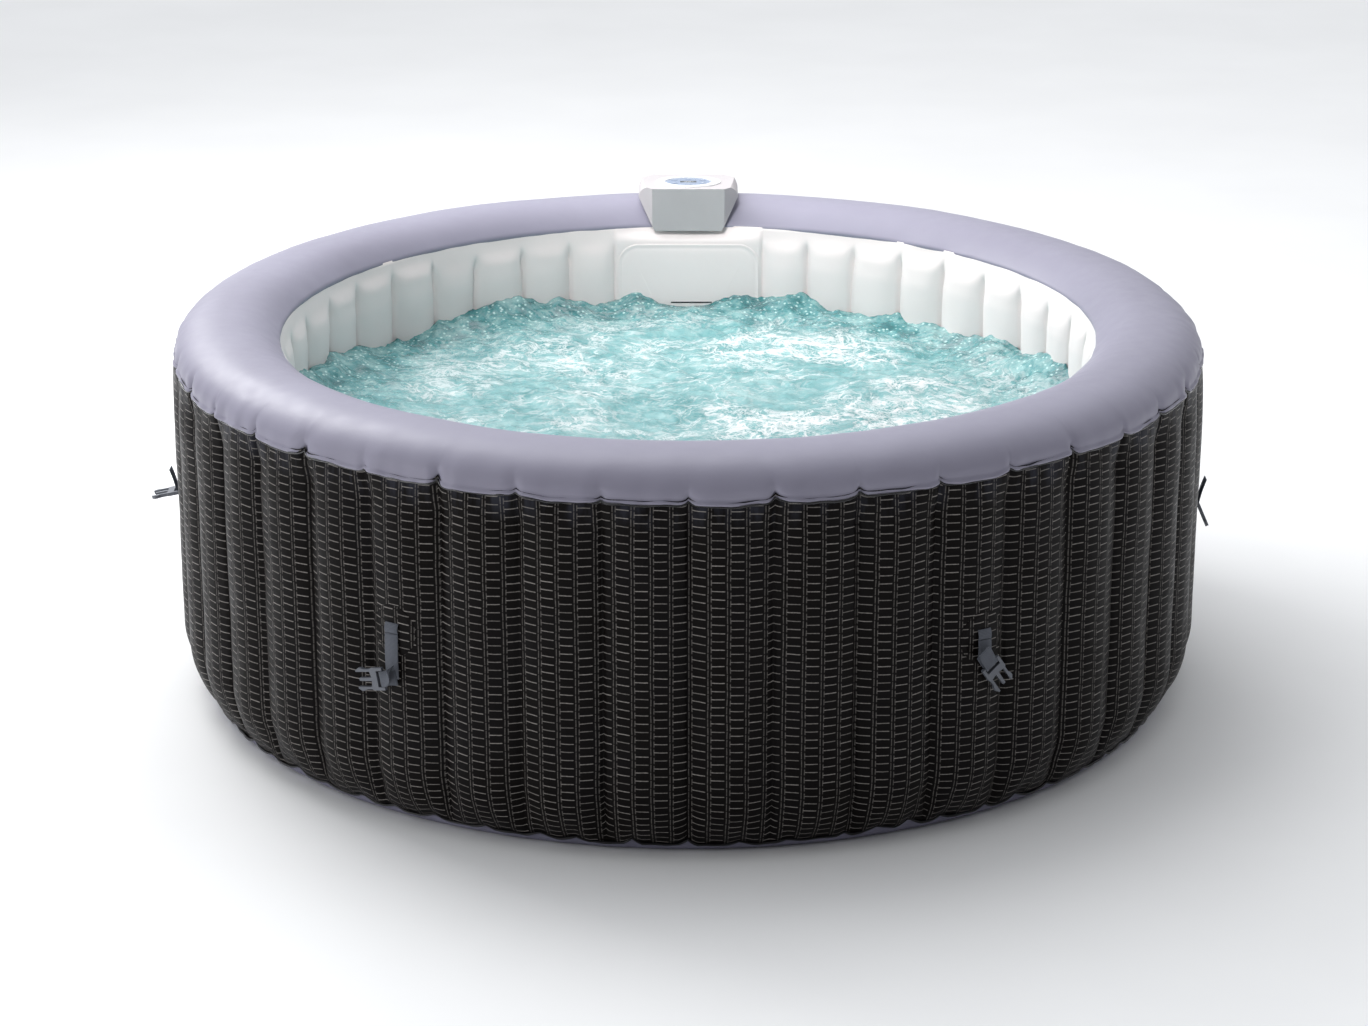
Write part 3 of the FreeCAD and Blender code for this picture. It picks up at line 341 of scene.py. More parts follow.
def rattan():
    """The printed rattan: staggered short strands between pairs of thin uprights."""
    n = Nodes("rattan_print", roughness=0.5, specular=0.07)
    place = n.place()
    coarse = n.noise(place, 34, 2)
    u, v, _ = n.split(n.uv())
    drift = n.times(n.minus(coarse, 0.5), 0.0022)
    column = n.math("DIVIDE", n.plus(u, drift), 2 * math.pi * WALL_R / STRAND_COLUMNS)
    number = n.math("FLOOR", column)
    across = n.minus(column, number)
    stagger = n.times(n.math("FLOORED_MODULO", number, 2.0), 0.5)
    own = n.add("ShaderNodeTexWhiteNoise", {"W": number}, noise_dimensions="1D").outputs[0]
    lift = n.times(n.minus(across, 0.55), n.times(n.minus(own, 0.35), 0.22))
    row = n.plus(n.math("DIVIDE", n.minus(v, drift), ROW_PITCH), n.plus(stagger, lift))
    step = n.math("FLOOR", row)
    along = n.minus(row, step)

    def band(value, middle, half, soft):
        gap = n.math("ABSOLUTE", n.minus(value, middle))
        return n.range(gap, half - soft, half + soft, 1.0, 0.0)

    strand = n.times(band(along, 0.5, 0.055, 0.02), band(across, 0.56, 0.35, 0.02))
    broken = n.range(band(along, 0.5, 0.36, 0.05), 0, 1, 0.08, 1.0)
    other = n.range(band(along, 0.0, 0.13, 0.05), 0, 1, 1.0, 0.1)
    first = n.times(band(across, 0.04, 0.024, 0.014), other)
    second = n.times(band(across, 0.205, 0.024, 0.014), broken)
    uprights = n.times(n.math("MAXIMUM", first, second), 0.42)
    pick = n.add("ShaderNodeTexWhiteNoise", {"Vector": n.join(number, step)},
                 noise_dimensions="2D").outputs[0]
    marks = n.math("MAXIMUM", n.times(strand, n.range(pick, 0, 1, 0.55, 1.0)), uprights)
    worn = n.range(n.noise(place, 260, 3, 0.6), 0.3, 0.65, 0.55, 1.0)
    marks = n.times(marks, worn)

    reed = n.times(band(along, 0.0, 0.42, 0.3), 0.25)
    ground = n.mix(reed, (0.0036, 0.0025, 0.0021), (0.0078, 0.0056, 0.0046))
    tone = n.range(n.noise(place, 9, 3), 0.35, 0.65, 0, 0.6)
    ground = n.mix(tone, ground, (0.0060, 0.0050, 0.0058))
    # Painted sheen: bluish-grey gloss streaks painted into the colour along the wall's top, just under the rim's
    # seam.
    sheen_streaks = n.noise(n.scaled(place, (1.0, 1.0, 0.2)), 36, 3, 0.6)
    sheen_below_seam = n.range(n.split(place)[2], SEAM_Z - 0.052, SEAM_Z - 0.006, 0.0, 1.0)
    painted_sheen = n.times(sheen_below_seam, n.range(sheen_streaks, 0.46, 0.64, 0.0, 0.75))
    ground = n.mix(painted_sheen, ground, (0.040, 0.042, 0.058))
    fine = n.noise(place, 500, 2)
    n.set(Base_Color=n.mix(marks, ground, (0.34, 0.315, 0.295)),
          Roughness=n.range(n.noise(place, 30, 3), 0.3, 0.7, 0.36, 0.5),
          Normal=n.bump(fine, 0.00012, n.bump(n.noise(place, 18, 3), 0.0016)))
    return n.material


def water_material():
    """Churned water: two tones of turquoise under a lace of foam that thins out towards
    the edge, where single bubbles take its place."""
    n = Nodes("churned_water", roughness=0.12, specular=0.5)
    place = n.place()
    warp = n.add("ShaderNodeTexNoise", {"Vector": place, "Scale": 5.0, "Detail": 3.0})
    warped = n.vector("ADD", place, n.scaled(warp.outputs[1], (0.11, 0.11, 0.11)))
    wide = n.noise(warped, 5.0, 4, 0.55, 0.6)
    lace = n.noise(n.scaled(warped, (1.0, 1.3, 1.0)), 17, 9, 0.62, 0.7)
    fine_lace = n.noise(n.scaled(warped, (1.0, 1.3, 1.0)), 48, 8, 0.66, 0.9)

    def thread(value, sharp):
        off = n.math("ABSOLUTE", n.minus(value, 0.5))
        return n.minus(1.0, n.times(off, sharp), clamp=True)

    ridge = n.math("MAXIMUM", thread(lace, 13.0), n.times(thread(fine_lace, 11.0), 0.72))
    patches = n.range(wide, 0.38, 0.62, 0.0, 1.0)
    amount = n.plus(n.times(ridge, n.range(patches, 0, 1, 0.45, 1.1)), n.times(patches, 0.05))
    x, y, _ = n.split(place)
    reach = n.math("SQRT", n.plus(n.times(x, x), n.times(y, y)))
    to_left = n.range(x, -0.45, 0.05, 0.62, 1.0)
    calm = n.times(n.range(reach, 0.50, 0.66, 1.0, 0.3), to_left)
    foam = n.times(n.range(amount, 0.30, 0.95, 0.0, 1.0), calm, clamp=True)
    body = n.ramp(n.noise(warped, 12, 6, 0.64), (0.36, (0.075, 0.28, 0.29)),
                  (0.5, (0.16, 0.385, 0.395)), (0.66, (0.29, 0.50, 0.50)))
    deep = n.ramp(n.noise(warped, 22, 6, 0.66), (0.38, (0.018, 0.155, 0.17)),
                  (0.5, (0.07, 0.29, 0.30)), (0.64, (0.26, 0.49, 0.49)))
    body = n.mix(n.range(reach, 0.46, 0.63, 0.0, 1.0), body, deep)
    fizz = n.noise(place, 300, 3, 0.6)
    colour = n.mix(foam, body, (0.76, 0.77, 0.77))
    colour = n.mix(n.range(fizz, 0.62, 0.75, 0, 0.5), colour, (0.70, 0.78, 0.78))
    cells = n.add("ShaderNodeTexVoronoi", {"Vector": place, "Scale": 95.0}).outputs[0]
    edge = n.range(reach, 0.50, 0.62, 0.0, 0.75)
    bubbles = n.times(n.range(cells, 0.16, 0.30, 1.0, 0.0), edge)
    colour = n.mix(bubbles, colour, (0.62, 0.86, 0.84))
    n.set(Base_Color=colour, Roughness=n.range(foam, 0, 1, 0.10, 0.5),
          Normal=n.bump(fizz, 0.0012, n.bump(lace, 0.006)))
    return n.material


def webbing():
    """Flat woven strap: ribs across, with a thread in them along the strap."""
    n = Nodes("strap_webbing", roughness=0.8, specular=0.25)
    u, v, _ = n.split(n.uv())
    rib = n.math("SINE", n.times(v, 2 * math.pi / 0.0021))
    thread = n.math("SINE", n.times(u, 2 * math.pi / 0.0016))
    weave = n.times(rib, thread)
    tone = n.noise(n.place(), 90, 3)
    # Painted shade: the weave darker in the grooves between its ribs and lighter on their raised tops.
    shade = n.range(n.plus(rib, n.times(weave, 0.6)), -1.6, 1.6, 0, 1)
    colour = n.mix(shade, (0.085, 0.092, 0.112), (0.20, 0.215, 0.25))
    n.set(Base_Color=n.mix(n.range(tone, 0.3, 0.7, 0, 0.35), colour, (0.13, 0.14, 0.165)),
          Normal=n.bump(n.plus(rib, weave), 0.00025))
    return n.material


def moulded(name, colour, roughness, spread=0.06, grain=0.00005):
    """Moulded plastic: a fine spark-eroded grain, slow tone drift and handling marks."""
    n = Nodes(name)
    place = n.place()
    dark = tuple(max(0.0, c * (1 - spread * 1.6)) for c in colour)
    light = tuple(min(1.0, c * (1 + spread)) for c in colour)
    tone = n.ramp(n.noise(place, 11, 4, 0.6), (0.3, dark), (0.7, light))
    scuffs = n.noise(n.scaled(place, (1.0, 1.0, 0.25)), 180, 4, 0.7)
    n.set(Base_Color=n.mix(n.range(scuffs, 0.66, 0.8, 0, 0.18), tone, (0.8, 0.8, 0.8)),
          Roughness=n.range(scuffs, 0.3, 0.7, roughness - 0.06, roughness + 0.08),
          Normal=n.bump(n.noise(place, 900.0, 2), grain))
    return n.material


def metal(name, colour, roughness, stretch=(1.0, 1.0, 12.0)):
    """Brushed metal, its brushing fine across the stretch, with slow stains."""
    n = Nodes(name, metallic=1.0)
    place = n.place()
    brushed = n.noise(n.scaled(place, stretch), 260, 3, 0.6)
    stain = n.noise(place, 30, 4)
    dark = tuple(c * 0.72 for c in colour)
    n.set(Base_Color=n.ramp(stain, (0.3, dark), (0.65, colour)),
          Roughness=n.range(brushed, 0.3, 0.7, roughness - 0.08, roughness + 0.12),
          Normal=n.bump(brushed, 0.00004))
    return n.material


def board_material():
    """Green laminate with a maze of lighter tracks."""
    n = Nodes("board_laminate", roughness=0.35)
    place = n.place()
    cells = n.add("ShaderNodeTexVoronoi", {"Vector": place, "Scale": 150.0},
                  distance="MANHATTAN").outputs[0]
    tracks = n.range(cells, 0.12, 0.2, 1.0, 0.0)
    n.set(Base_Color=n.mix(tracks, (0.012, 0.085, 0.03), (0.05, 0.19, 0.07)),
          Normal=n.bump(cells, 0.0001))
    return n.material


# The filter's axis, along y.
FILTER_X = -0.035
FILTER_Z = 0.140


def pleated_paper():
    """The filter's paper, in pleats round the cartridge's axis."""
    n = Nodes("filter_paper", roughness=0.9, specular=0.2)
    x, _, z = n.split(n.place())
    from_x = n.minus(x, FILTER_X)
    from_z = n.minus(z, FILTER_Z)
    pleat = n.math("SINE", n.times(n.math("ARCTAN2", from_z, from_x), 60.0))
    fibre = n.noise(n.place(), 500, 3)
    # Painted shade: the paper darker in the pleats' valleys and lighter on their ridges.
    colour = n.mix(n.range(pleat, -1, 1, 0, 1), (0.55, 0.60, 0.62), (0.86, 0.88, 0.88))
    n.set(Base_Color=n.mix(n.range(fibre, 0.3, 0.7, 0, 0.25), colour, (0.95, 0.95, 0.93)),
          Normal=n.bump(pleat, 0.002))
    return n.material


rattan_mat = rattan()
rim_mat = vinyl("rim_vinyl", (0.312, 0.300, 0.382), (0.282, 0.270, 0.346), 0.42, specular=0.32)
liner_mat = vinyl("liner_vinyl", (0.93, 0.855, 0.845), (0.885, 0.815, 0.80), 0.42)
base_mat = vinyl("base_vinyl", (0.26, 0.25, 0.34), (0.20, 0.195, 0.27), 0.45)
weld_mat = vinyl("weld_vinyl", (0.012, 0.011, 0.013), (0.005, 0.005, 0.006), 0.34,
                 patch_scale=30.0)
# Near black: partly the weld's own colour, partly painted shade under the rim's lap.
rim_weld_shade_mat = vinyl("rim_weld_shade_vinyl", (0.016, 0.015, 0.018), (0.006, 0.006, 0.007), 0.16,
                     patch_scale=30.0, specular=0.9)
web_cloth_mat = vinyl("web_vinyl", (0.62, 0.62, 0.64), (0.52, 0.52, 0.55), 0.5)
water_mat = water_material()
webbing_mat = webbing()

SLOT_MATERIALS = {
    "rattan_skin": rattan_mat,
    "liner_skin": liner_mat,
    "rim_skin": rim_mat,
    "base_skin": base_mat,
    "web_skin": web_cloth_mat,
    "webbing": webbing_mat,
    "buckle_plastic": moulded("buckle_acetal", (0.135, 0.145, 0.17), 0.42),
    "pod_plastic": moulded("pod_plastic", (0.52, 0.49, 0.50), 0.45, 0.03),
    "bezel_plastic": moulded("bezel_plastic", (0.86, 0.87, 0.88), 0.25, 0.02),
    "dial_print": moulded("dial_print", (0.25, 0.31, 0.43), 0.3, 0.05),
    "lens_plastic": moulded("lens_plastic", (0.02, 0.028, 0.04), 0.08, 0.2, 0.00001),
    "board_laminate": board_material(),
    "case_plastic": moulded("case_plastic", (0.16, 0.165, 0.175), 0.5),
    "cover_plastic": moulded("cover_plastic", (0.055, 0.055, 0.06), 0.46),
    "screw_steel": metal("screw_steel", (0.62, 0.61, 0.59), 0.3),
    "gland_plastic": moulded("gland_plastic", (0.09, 0.09, 0.10), 0.4),
    "motor_metal": metal("motor_metal", (0.46, 0.46, 0.47), 0.35),
    "impeller_plastic": moulded("impeller_plastic", (0.70, 0.72, 0.72), 0.4),
    "heater_steel": metal("heater_steel", (0.60, 0.59, 0.57), 0.22, (12.0, 1.0, 1.0)),
    "pipe_plastic": moulded("pipe_plastic", (0.78, 0.79, 0.79), 0.38, 0.03),
    "hose_rubber": moulded("hose_rubber", (0.05, 0.05, 0.055), 0.6),
    "filter_paper": pleated_paper(),
    "seal_rubber": moulded("seal_rubber", (0.035, 0.035, 0.038), 0.65),
}

for part in frame["record"]["subparts"]:
    node = frame["nodes"][part["node"]]
    node.data.materials.clear()
    node.data.materials.append(SLOT_MATERIALS[part["material_slot"]])


# ---- the air chamber's shape ----

def crowded(count):
    """Steps from 0 towards 1, set closer together near both ends."""
    step = np.arange(count) / count
    return 0.35 * step + 0.65 * (1 - np.cos(math.pi * step)) / 2


ANGLES = ((np.arange(BAYS)[:, None] + crowded(BAY_STEPS)[None, :]) * PITCH).ravel()
TURNS = np.append(ANGLES, 2 * math.pi)


def arc_points(middle, radius, start, end, count):
    """Points along an arc in the section plane, between two angles in degrees."""
    turn = np.radians(np.linspace(start, end, count))
    return np.stack([middle[0] + radius * np.cos(turn), middle[1] + radius * np.sin(turn)], -1)


def even(line, count):
    """The line's points respaced evenly, with their distances from its start."""
    gaps = np.linalg.norm(np.diff(line, axis=0), axis=1)
    reach = np.concatenate([[0], np.cumsum(gaps)])
    at = np.linspace(0, reach[-1], count)
    return np.stack([np.interp(at, reach, line[:, i]) for i in range(line.shape[1])], -1), at


def line_normals(line):
    """Each point's normal in the section plane, to the right of the way it runs."""
    way = np.gradient(line, axis=0)
    way /= np.linalg.norm(way, axis=1)[:, None]
    return np.stack([way[:, 1], -way[:, 0]], -1)


wall_line = np.concatenate([
    arc_points((WALL_R - FOOT_ARC, WELD_Z + FOOT_RISE), FOOT_ARC,
               -math.degrees(math.asin(FOOT_RISE / FOOT_ARC)), 0, 30),
    arc_points((WALL_R - SHOULDER_ARC, SHOULDER_Z), SHOULDER_ARC, 0,
               math.degrees(math.asin((SEAM_Z - SHOULDER_Z) / SHOULDER_ARC)), 30)])

# A web's crease every pitch, but for the three behind the rear cover, where two webs
# stand one and a half pitches from the back.
creases = np.array(sorted([k for k in range(BAYS) if abs(k - BACK) > 1]
                          + [BACK - 1.5, BACK + 1.5])) * PITCH

# Each crease's own pinch and lean at the rim and at the foot, and each tube's fullness.
pucker = rng.uniform(0.4, 0.85, len(creases))
pucker_lean = rng.uniform(-0.6, 0.6, len(creases))
foot_pucker = rng.uniform(0.3, 1.0, len(creases))
fullness = rng.uniform(0.86, 1.14, len(creases))
scallop = rng.uniform(-0.3, 1.2, len(creases))


def bay_place(angle):
    """Where an angle falls between its two creases, -1 to 1, the bay's number, the
    nearest crease's number and the signed distance from that crease along the wall."""
    angle = np.asarray(angle, float) % (2 * math.pi)
    ends = np.append(creases, 2 * math.pi)
    bay = np.searchsorted(ends, angle + 1e-9, side="right") - 1
    start, end = ends[bay], ends[bay + 1]
    across = 2 * (angle - start) / (end - start) - 1
    nearest = np.where(across < 0, bay, bay + 1)
    return across, bay, nearest % len(creases), (angle - ends[nearest]) * WALL_R


def seam_shift(angle):
    """How far the rim seam stands off its circle: outward and up."""
    across, bay, crease, off = bay_place(angle)
    ring_point = polar(angle, SEAM_R, SEAM_Z)
    wander = wave(ring_point, 9, 1)
    ripple = wave(ring_point, 42, 2)
    pinch = pucker[crease]
    uneven = scallop[bay]
    out = (-0.0035 * uneven * across ** 4 - 0.006 * pinch * np.exp(-(off / 0.007) ** 2)
           + 0.0026 * ripple)
    up = (0.0045 * uneven * (across ** 4 - 0.4) + 0.009 * pinch * np.exp(-np.abs(off) / 0.006)
          + 0.0045 * wander + 0.0032 * ripple)
    return out, up


def weld_height(angle):
    """The foot weld's height above its circle: low runs between sharp lifts."""
    off = bay_place(angle)[3]
    ring_point = polar(angle, FOOT_R, 0)
    lift = np.zeros_like(off)
    for at, tall, wide in foot_lifts:
        gap = turn_gap(angle, at)
        lift = np.maximum(lift, tall * np.clip(1 - np.abs(gap) * FOOT_R / wide, 0, 1) ** 1.4)
    return lift + 0.0025 * wave(ring_point, 7, 3) + 0.001 * wave(ring_point, 50, 4)


# The foot weld's lifts, at uneven steps round the tub: angle, height and half width.
foot_lifts = []
angle_at = 0.0
while angle_at < 2 * math.pi - 0.04:
    foot_lifts.append((angle_at, rng.uniform(0.004, 0.011), rng.uniform(0.014, 0.03)))
    angle_at += rng.uniform(0.062, 0.115)


def calm_at(angle, height):
    """1 where the skin is plain, falling to 0 where a fitting lies flat against it."""
    angle, height = np.broadcast_arrays(angle, height)
    side = np.abs(angle % (2 * math.pi) - math.pi) * WALL_R
    cover = np.maximum(side - cover_high.x, np.maximum(
        cover_low.z - height, height - cover_high.z))
    calm = smooth(0.004, 0.034, cover)
    for node in FITTING_HOLES:
        at, middle_z = fitting_place(node)
        reach = np.hypot(turn_gap(angle, at) * WALL_R, height - middle_z)
        calm = calm * smooth(0.028, 0.055, reach)
    return calm


def wall_shift(line, at):
    """How far the wall's skin stands off its plain section: tubes, creases, puckers at
    the rim's seam and folds at the foot, and none of it where a fitting lies flat."""
    angle = ANGLES
    across, bay, crease, off = bay_place(angle)
    from_top = (at[-1] - at)[:, None]
    from_foot = at[:, None]
    grid = polar(angle[None, :], line[:, :1], line[:, 1:])
    depth = TUBE_DEPTH * smooth(0, 0.06, from_top) * smooth(0, 0.07, from_foot)
    shift = -depth * np.abs(across) ** TUBE_ROUND * fullness[bay]
    weld_line = wave(polar(angle[None, :], WALL_R, line[:, 1:] * 0.5), 12, 30)
    shift = shift - 0.0026 * (1 + weld_line) * np.exp(-(off / 0.0028) ** 2) * smooth(
        0, 0.03, from_top) * smooth(0, 0.03, from_foot)
    pinch = pucker[crease]
    drawn = off - pucker_lean[crease] * np.minimum(from_top, 0.05) * 0.35
    shift = shift - 0.008 * pinch * np.exp(-(drawn / 0.0065) ** 2) * (
        np.exp(-from_top / 0.045) * smooth(0, 0.006, from_top))
    folds = wave(polar(angle[None, :], WALL_R, line[:, 1:] * 0.22), 34, 5)
    shift = shift + folds * 0.0042 * np.exp(-from_top / 0.02) * smooth(0, 0.01, from_top)
    low_folds = wave(polar(angle[None, :], WALL_R, line[:, 1:] * 0.3), 26, 6)
    tight = foot_pucker[crease] * np.exp(-(off / 0.012) ** 2)
    shift = shift + (low_folds * 0.005 - 0.006 * tight) * np.exp(-from_foot / 0.035) * (
        smooth(0, 0.012, from_foot))
    shift = shift + 0.0016 * wave(grid, 7.5, 7) + 0.0006 * wave(grid, 24, 8)
    return shift * calm_at(angle[None, :], grid[..., 2])


def build_wall():
    line, at = even(wall_line, 104)
    out = line_normals(line)
    shift = wall_shift(line, at)
    seam_out, seam_up = seam_shift(ANGLES)
    near_top = np.exp(-(at[-1] - at)[:, None] / 0.022)
    near_foot = np.exp(-at[:, None] / 0.028)
    radius = line[:, :1] + out[:, :1] * shift + seam_out * near_top
    height = (line[:, 1:] + out[:, 1:] * shift + seam_up * near_top
              + weld_height(ANGLES) * near_foot)
    points = polar(ANGLES[None, :], radius, height)
    middle = face_middles(points)
    keep = ~in_window(middle, *WALL_WINDOW)
    for node, hole in FITTING_HOLES.items():
        turn, centre_z = fitting_place(node)
        gap = turn_gap(np.arctan2(middle[..., 0], -middle[..., 1]), turn)
        keep &= np.hypot(gap * WALL_R, middle[..., 2] - centre_z) > hole
    return grid_piece("outer_wall_skin", points, uv_grid(TURNS * WALL_R, at), keep=keep)


def rim_section():
    """The rim's section: a full quarter up from the wall's seam to the crest, and a
    flatter slope down to the inner wall's seam."""
    outer = np.radians(np.linspace(0, 90, 40))
    inner = np.linspace(0, 1, 40)[1:]
    full = 0.92
    rise = CREST_Z - SEAM_Z
    drop = CREST_Z - LINER_SEAM_Z
    return np.concatenate([
        np.stack([CREST_R + (SEAM_R - CREST_R) * np.abs(np.cos(outer)) ** full,
                  SEAM_Z + rise * np.abs(np.sin(outer)) ** full], -1),
        np.stack([CREST_R - (CREST_R - LINER_SEAM_R) * inner,
                  LINER_SEAM_Z + drop * (1 - inner ** 2.4)], -1)])


def build_rim():
    line, at = even(rim_section(), 46)
    out = line_normals(line)
    angle = ANGLES
    _, _, crease, off = bay_place(angle)
    up = at[:, None]
    down = (at[-1] - at)[:, None]
    grid = polar(angle[None, :], line[:, :1], line[:, 1:])
    pinch = pucker[crease]
    drawn = off - pucker_lean[crease] * up * 0.9
    width = 0.006 + up * 0.22
    shift = -0.0075 * pinch ** 2 * np.exp(-(drawn / width) ** 2) * np.exp(-up / 0.022)
    folds = wave(polar(angle[None, :], SEAM_R, up * 0.35), 30, 9)
    shift = shift + folds * 0.003 * np.exp(-up / 0.022)
    shift = shift + 0.0018 * wave(grid, 5.5, 10) + 0.0005 * wave(grid, 20, 11)
    shift = shift + 0.0014 * wave(polar(angle[None, :], 0.71, down * 0.5), 22, 12) * (
        np.exp(-down / 0.02))
    seam_out, seam_up = seam_shift(angle)
    near = np.exp(-up / 0.02)
    radius = line[:, :1] + out[:, :1] * shift + seam_out * near
    height = line[:, 1:] + out[:, 1:] * shift + seam_up * near
    # The lap over the wall's top edge and the tuck behind the inner wall's.
    lap = np.array([[-0.0012, -0.0035], [0.0012, -0.0062], [0.0030, -0.0052],
                    [0.0030, -0.0022]])
    tuck = np.array([[-0.0006, -0.003], [0.0006, -0.0065], [0.003, -0.009]])
    radius = np.concatenate([radius[:1] + lap[:, :1], radius, radius[-1:] + tuck[:, :1]])
    height = np.concatenate([height[:1] + lap[:, 1:], height, height[-1:] + tuck[:, 1:]])
    points = polar(angle[None, :], radius, height)
    reach = np.concatenate([[-0.012, -0.009, -0.006, -0.003], at, at[-1] + [0.003, 0.006, 0.01]])
    return grid_piece("rim_skin_top", points, uv_grid(TURNS * CREST_R, reach))


def liner_creases():
    """The inner wall's creases, as angles from the front. The equipment panel's bay is
    wide, and the bays beside it give way a little."""
    from_back = [11.57, 19.0, 27.0, 35.2, 43.4, 51.8, 60.4, 68.6, 77.14]
    from_back += [math.degrees(PITCH) * k for k in range(10, 21)]
    left = [180 - a for a in from_back]
    return np.radians(sorted([0.0] + left + [360 - a for a in left]))


def build_liner():
    welds = liner_creases()
    spread = crowded(20)
    ends = np.append(welds, welds[0] + 2 * math.pi)
    angle = (ends[:-1, None] * (1 - spread) + ends[1:, None] * spread).ravel()
    across = np.tile(2 * spread - 1, len(welds))
    bay = np.repeat(np.arange(len(welds)), len(spread))
    line = np.array([[LINER_R, liner_low.z], [LINER_R, 0.54],
                     [LINER_SEAM_R + 0.001, LINER_SEAM_Z - 0.001]])
    line, at = even(line, 88)
    height = line[:, 1:]
    plump = rng.uniform(0.85, 1.15, len(welds))[bay]
    from_back = np.abs(np.degrees(angle) - 180)
    panel_bay = from_back < 11.6
    widths = np.diff(ends)[bay] * LINER_R
    depth = LINER_DEPTH * np.clip(widths / 0.104, 0.5, 1.0) * plump
    depth = np.where(panel_bay, PANEL_DEPTH, depth)
    beside = (1 - np.abs(across)) * widths / 2
    groove = 0.0055 * np.exp(-(beside / 0.0032) ** 2)
    start = rng.uniform(0.016, 0.032, len(welds))[bay]
    fade = smooth(0.0, 0.03, LINER_SEAM_Z - start - height)
    low_fade = smooth(0.0, 0.03, height - liner_low.z)
    below = np.maximum(LINER_SEAM_Z - height, 0.0)
    flatness = 2.1 + 7.0 * np.exp(-below / 0.035)
    bow = (depth * (1 - np.abs(across) ** flatness) - groove) * fade * low_fade
    leaning = rng.uniform(-0.011, 0.011, len(welds))
    leaning = np.append(leaning, leaning[0])
    lean = leaning[bay] * (1 - across) / 2 + leaning[bay + 1] * (1 + across) / 2
    lean = np.where(from_back < 19.2, 0.0, lean)
    leant = angle[None, :] + lean[None, :] * smooth(0.0, 0.13, LINER_SEAM_Z - height)
    grid = polar(angle[None, :], line[:, :1], height)
    top_swell = 0.0025 * np.exp(-((height - (LINER_SEAM_Z - 0.03)) / 0.02) ** 2)
    slow = 0.0015 * wave(grid, 8, 13) + 0.0006 * wave(grid, 25, 14)
    radius = line[:, :1] + 0.006 * fade * low_fade - bow - top_swell + slow * low_fade
    flat = (panel_high.y + 0.0006) / np.maximum(0.5, -np.cos(angle))[None, :]
    behind = panel_bay[None, :] * smooth(LINER_SEAM_Z - 0.004, panel_high.z + 0.002, height)
    radius = radius * (1 - behind) + flat * behind
    points = polar(leant, radius, height)
    uv = uv_grid(np.append(angle, 2 * math.pi + angle[0]) * LINER_R, at)
    keep = ~in_window(face_middles(points), *LINER_WINDOW)
    return grid_piece("inner_wall_skin", points[:, ::-1], uv[:, ::-1], keep=keep[:, ::-1])


def panel_outline(inset):
    """Points round the equipment panel's rounded edge, in x and z, set in from it."""
    low, high, half = panel_low.z, panel_high.z, panel_high.x
    count = 10
    points = []
    for cx, cz, start in ((half, high, 0), (-half, high, 90), (-half, low, 180), (half, low, 270)):
        mx = math.copysign(half - PANEL_CORNER, cx)
        mz = cz - math.copysign(PANEL_CORNER, cz - (low + high) / 2)
        for step in range(count + 1):
            turn = math.radians(start + 90 * step / count)
            points.append((mx + (PANEL_CORNER - inset) * math.cos(turn),
                           mz + (PANEL_CORNER - inset) * math.sin(turn)))
    return points


def build_panel():
    """The flat equipment panel: an outer weld, a second weld and a soft middle."""
    face = panel_low.y
    # How far each ring is set in from the edge, and how far it stands back.
    rings = [(0.0, 0.0010), (0.0005, -0.0002), (0.0025, -0.0007), (0.0045, -0.0003),
             (0.0065, 0.0003), (0.0095, 0.0002), (0.012, -0.0005), (0.0145, -0.0009),
             (0.02, -0.0013), (0.03, -0.0016), (0.040, -0.0018)]
    points = [(x, face + PANEL_LIFT + out, z) for inset, out in rings
              for x, z in panel_outline(inset)]
    faces = []
    count = len(points) // len(rings)
    for ring in range(len(rings) - 1):
        for k in range(count):
            a, b = ring * count + k, ring * count + (k + 1) % count
            faces.append((a, b, b + count, a + count))
    last = (len(rings) - 1) * count
    points.append((0, face - 0.0010, (panel_low.z + panel_high.z) / 2))
    for k in range(count):
        faces.append((last + k, last + (k + 1) % count, len(points) - 1))
    piece = mesh_piece("equipment_panel_skin", points, [f[::-1] for f in faces])
    finer = piece.modifiers.new("finer", "SUBSURF")
    finer.levels = finer.render_levels = 1
    return piece


def build_base():
    """The base sheet: flat on the floor, curled up at its edge to the foot weld."""
    up = weld_height(ANGLES)
    # Radius, height and how much of the weld's own height each row takes.
    rows = np.array([(0.02, 0.0004, 0.0), (0.3, 0.0004, 0.0), (0.6, 0.0004, 0.0),
                     (0.8, 0.0004, 0.0), (0.838, 0.0004, 0.0), (0.8445, 0.0016, 0.03),
                     (0.849, 0.0048, 0.18), (0.8525, 0.0085, 0.5),
                     (LIP_R - 0.0005, WELD_Z - 0.001, 1.0), (LIP_R - 0.003, WELD_Z + 0.003, 1.0)])
    radius = rows[:, :1]
    height = rows[:, 1:2] + up * rows[:, 2:]
    ripple = 0.0012 * wave(polar(ANGLES[None, :], radius, height * 2), 24, 15)
    points = polar(ANGLES[None, :], radius + ripple * smooth(0.84, 0.85, radius), height)
    uv = uv_grid(TURNS * FOOT_R, radius[:, 0])
    return grid_piece("base_skin_sheet", points[::-1], uv[::-1])


def tube_ring(name, path, size_at, count=8):
    """A closed bead along a ring of points, with its own half-width at each point."""
    ahead = np.roll(path, -1, 0) - np.roll(path, 1, 0)
    ahead /= np.linalg.norm(ahead, axis=1)[:, None]
    side = np.cross(ahead, np.array(UP))
    side /= np.linalg.norm(side, axis=1)[:, None]
    top = np.cross(side, ahead)
    turn = np.arange(count) * 2 * math.pi / count
    rows = [path + (side * math.cos(t) * size_at[:, :1] + top * math.sin(t) * size_at[:, 1:])
            for t in turn]
    rows.append(rows[0])
    points = np.stack(rows)
    uv = np.zeros((count + 1, len(path) + 1, 2))
    uv[..., 0] = np.linspace(0, 5.4, len(path) + 1)[None, :]
    uv[..., 1] = np.linspace(0, 0.03, count + 1)[:, None]
    return grid_piece(name, points, uv)


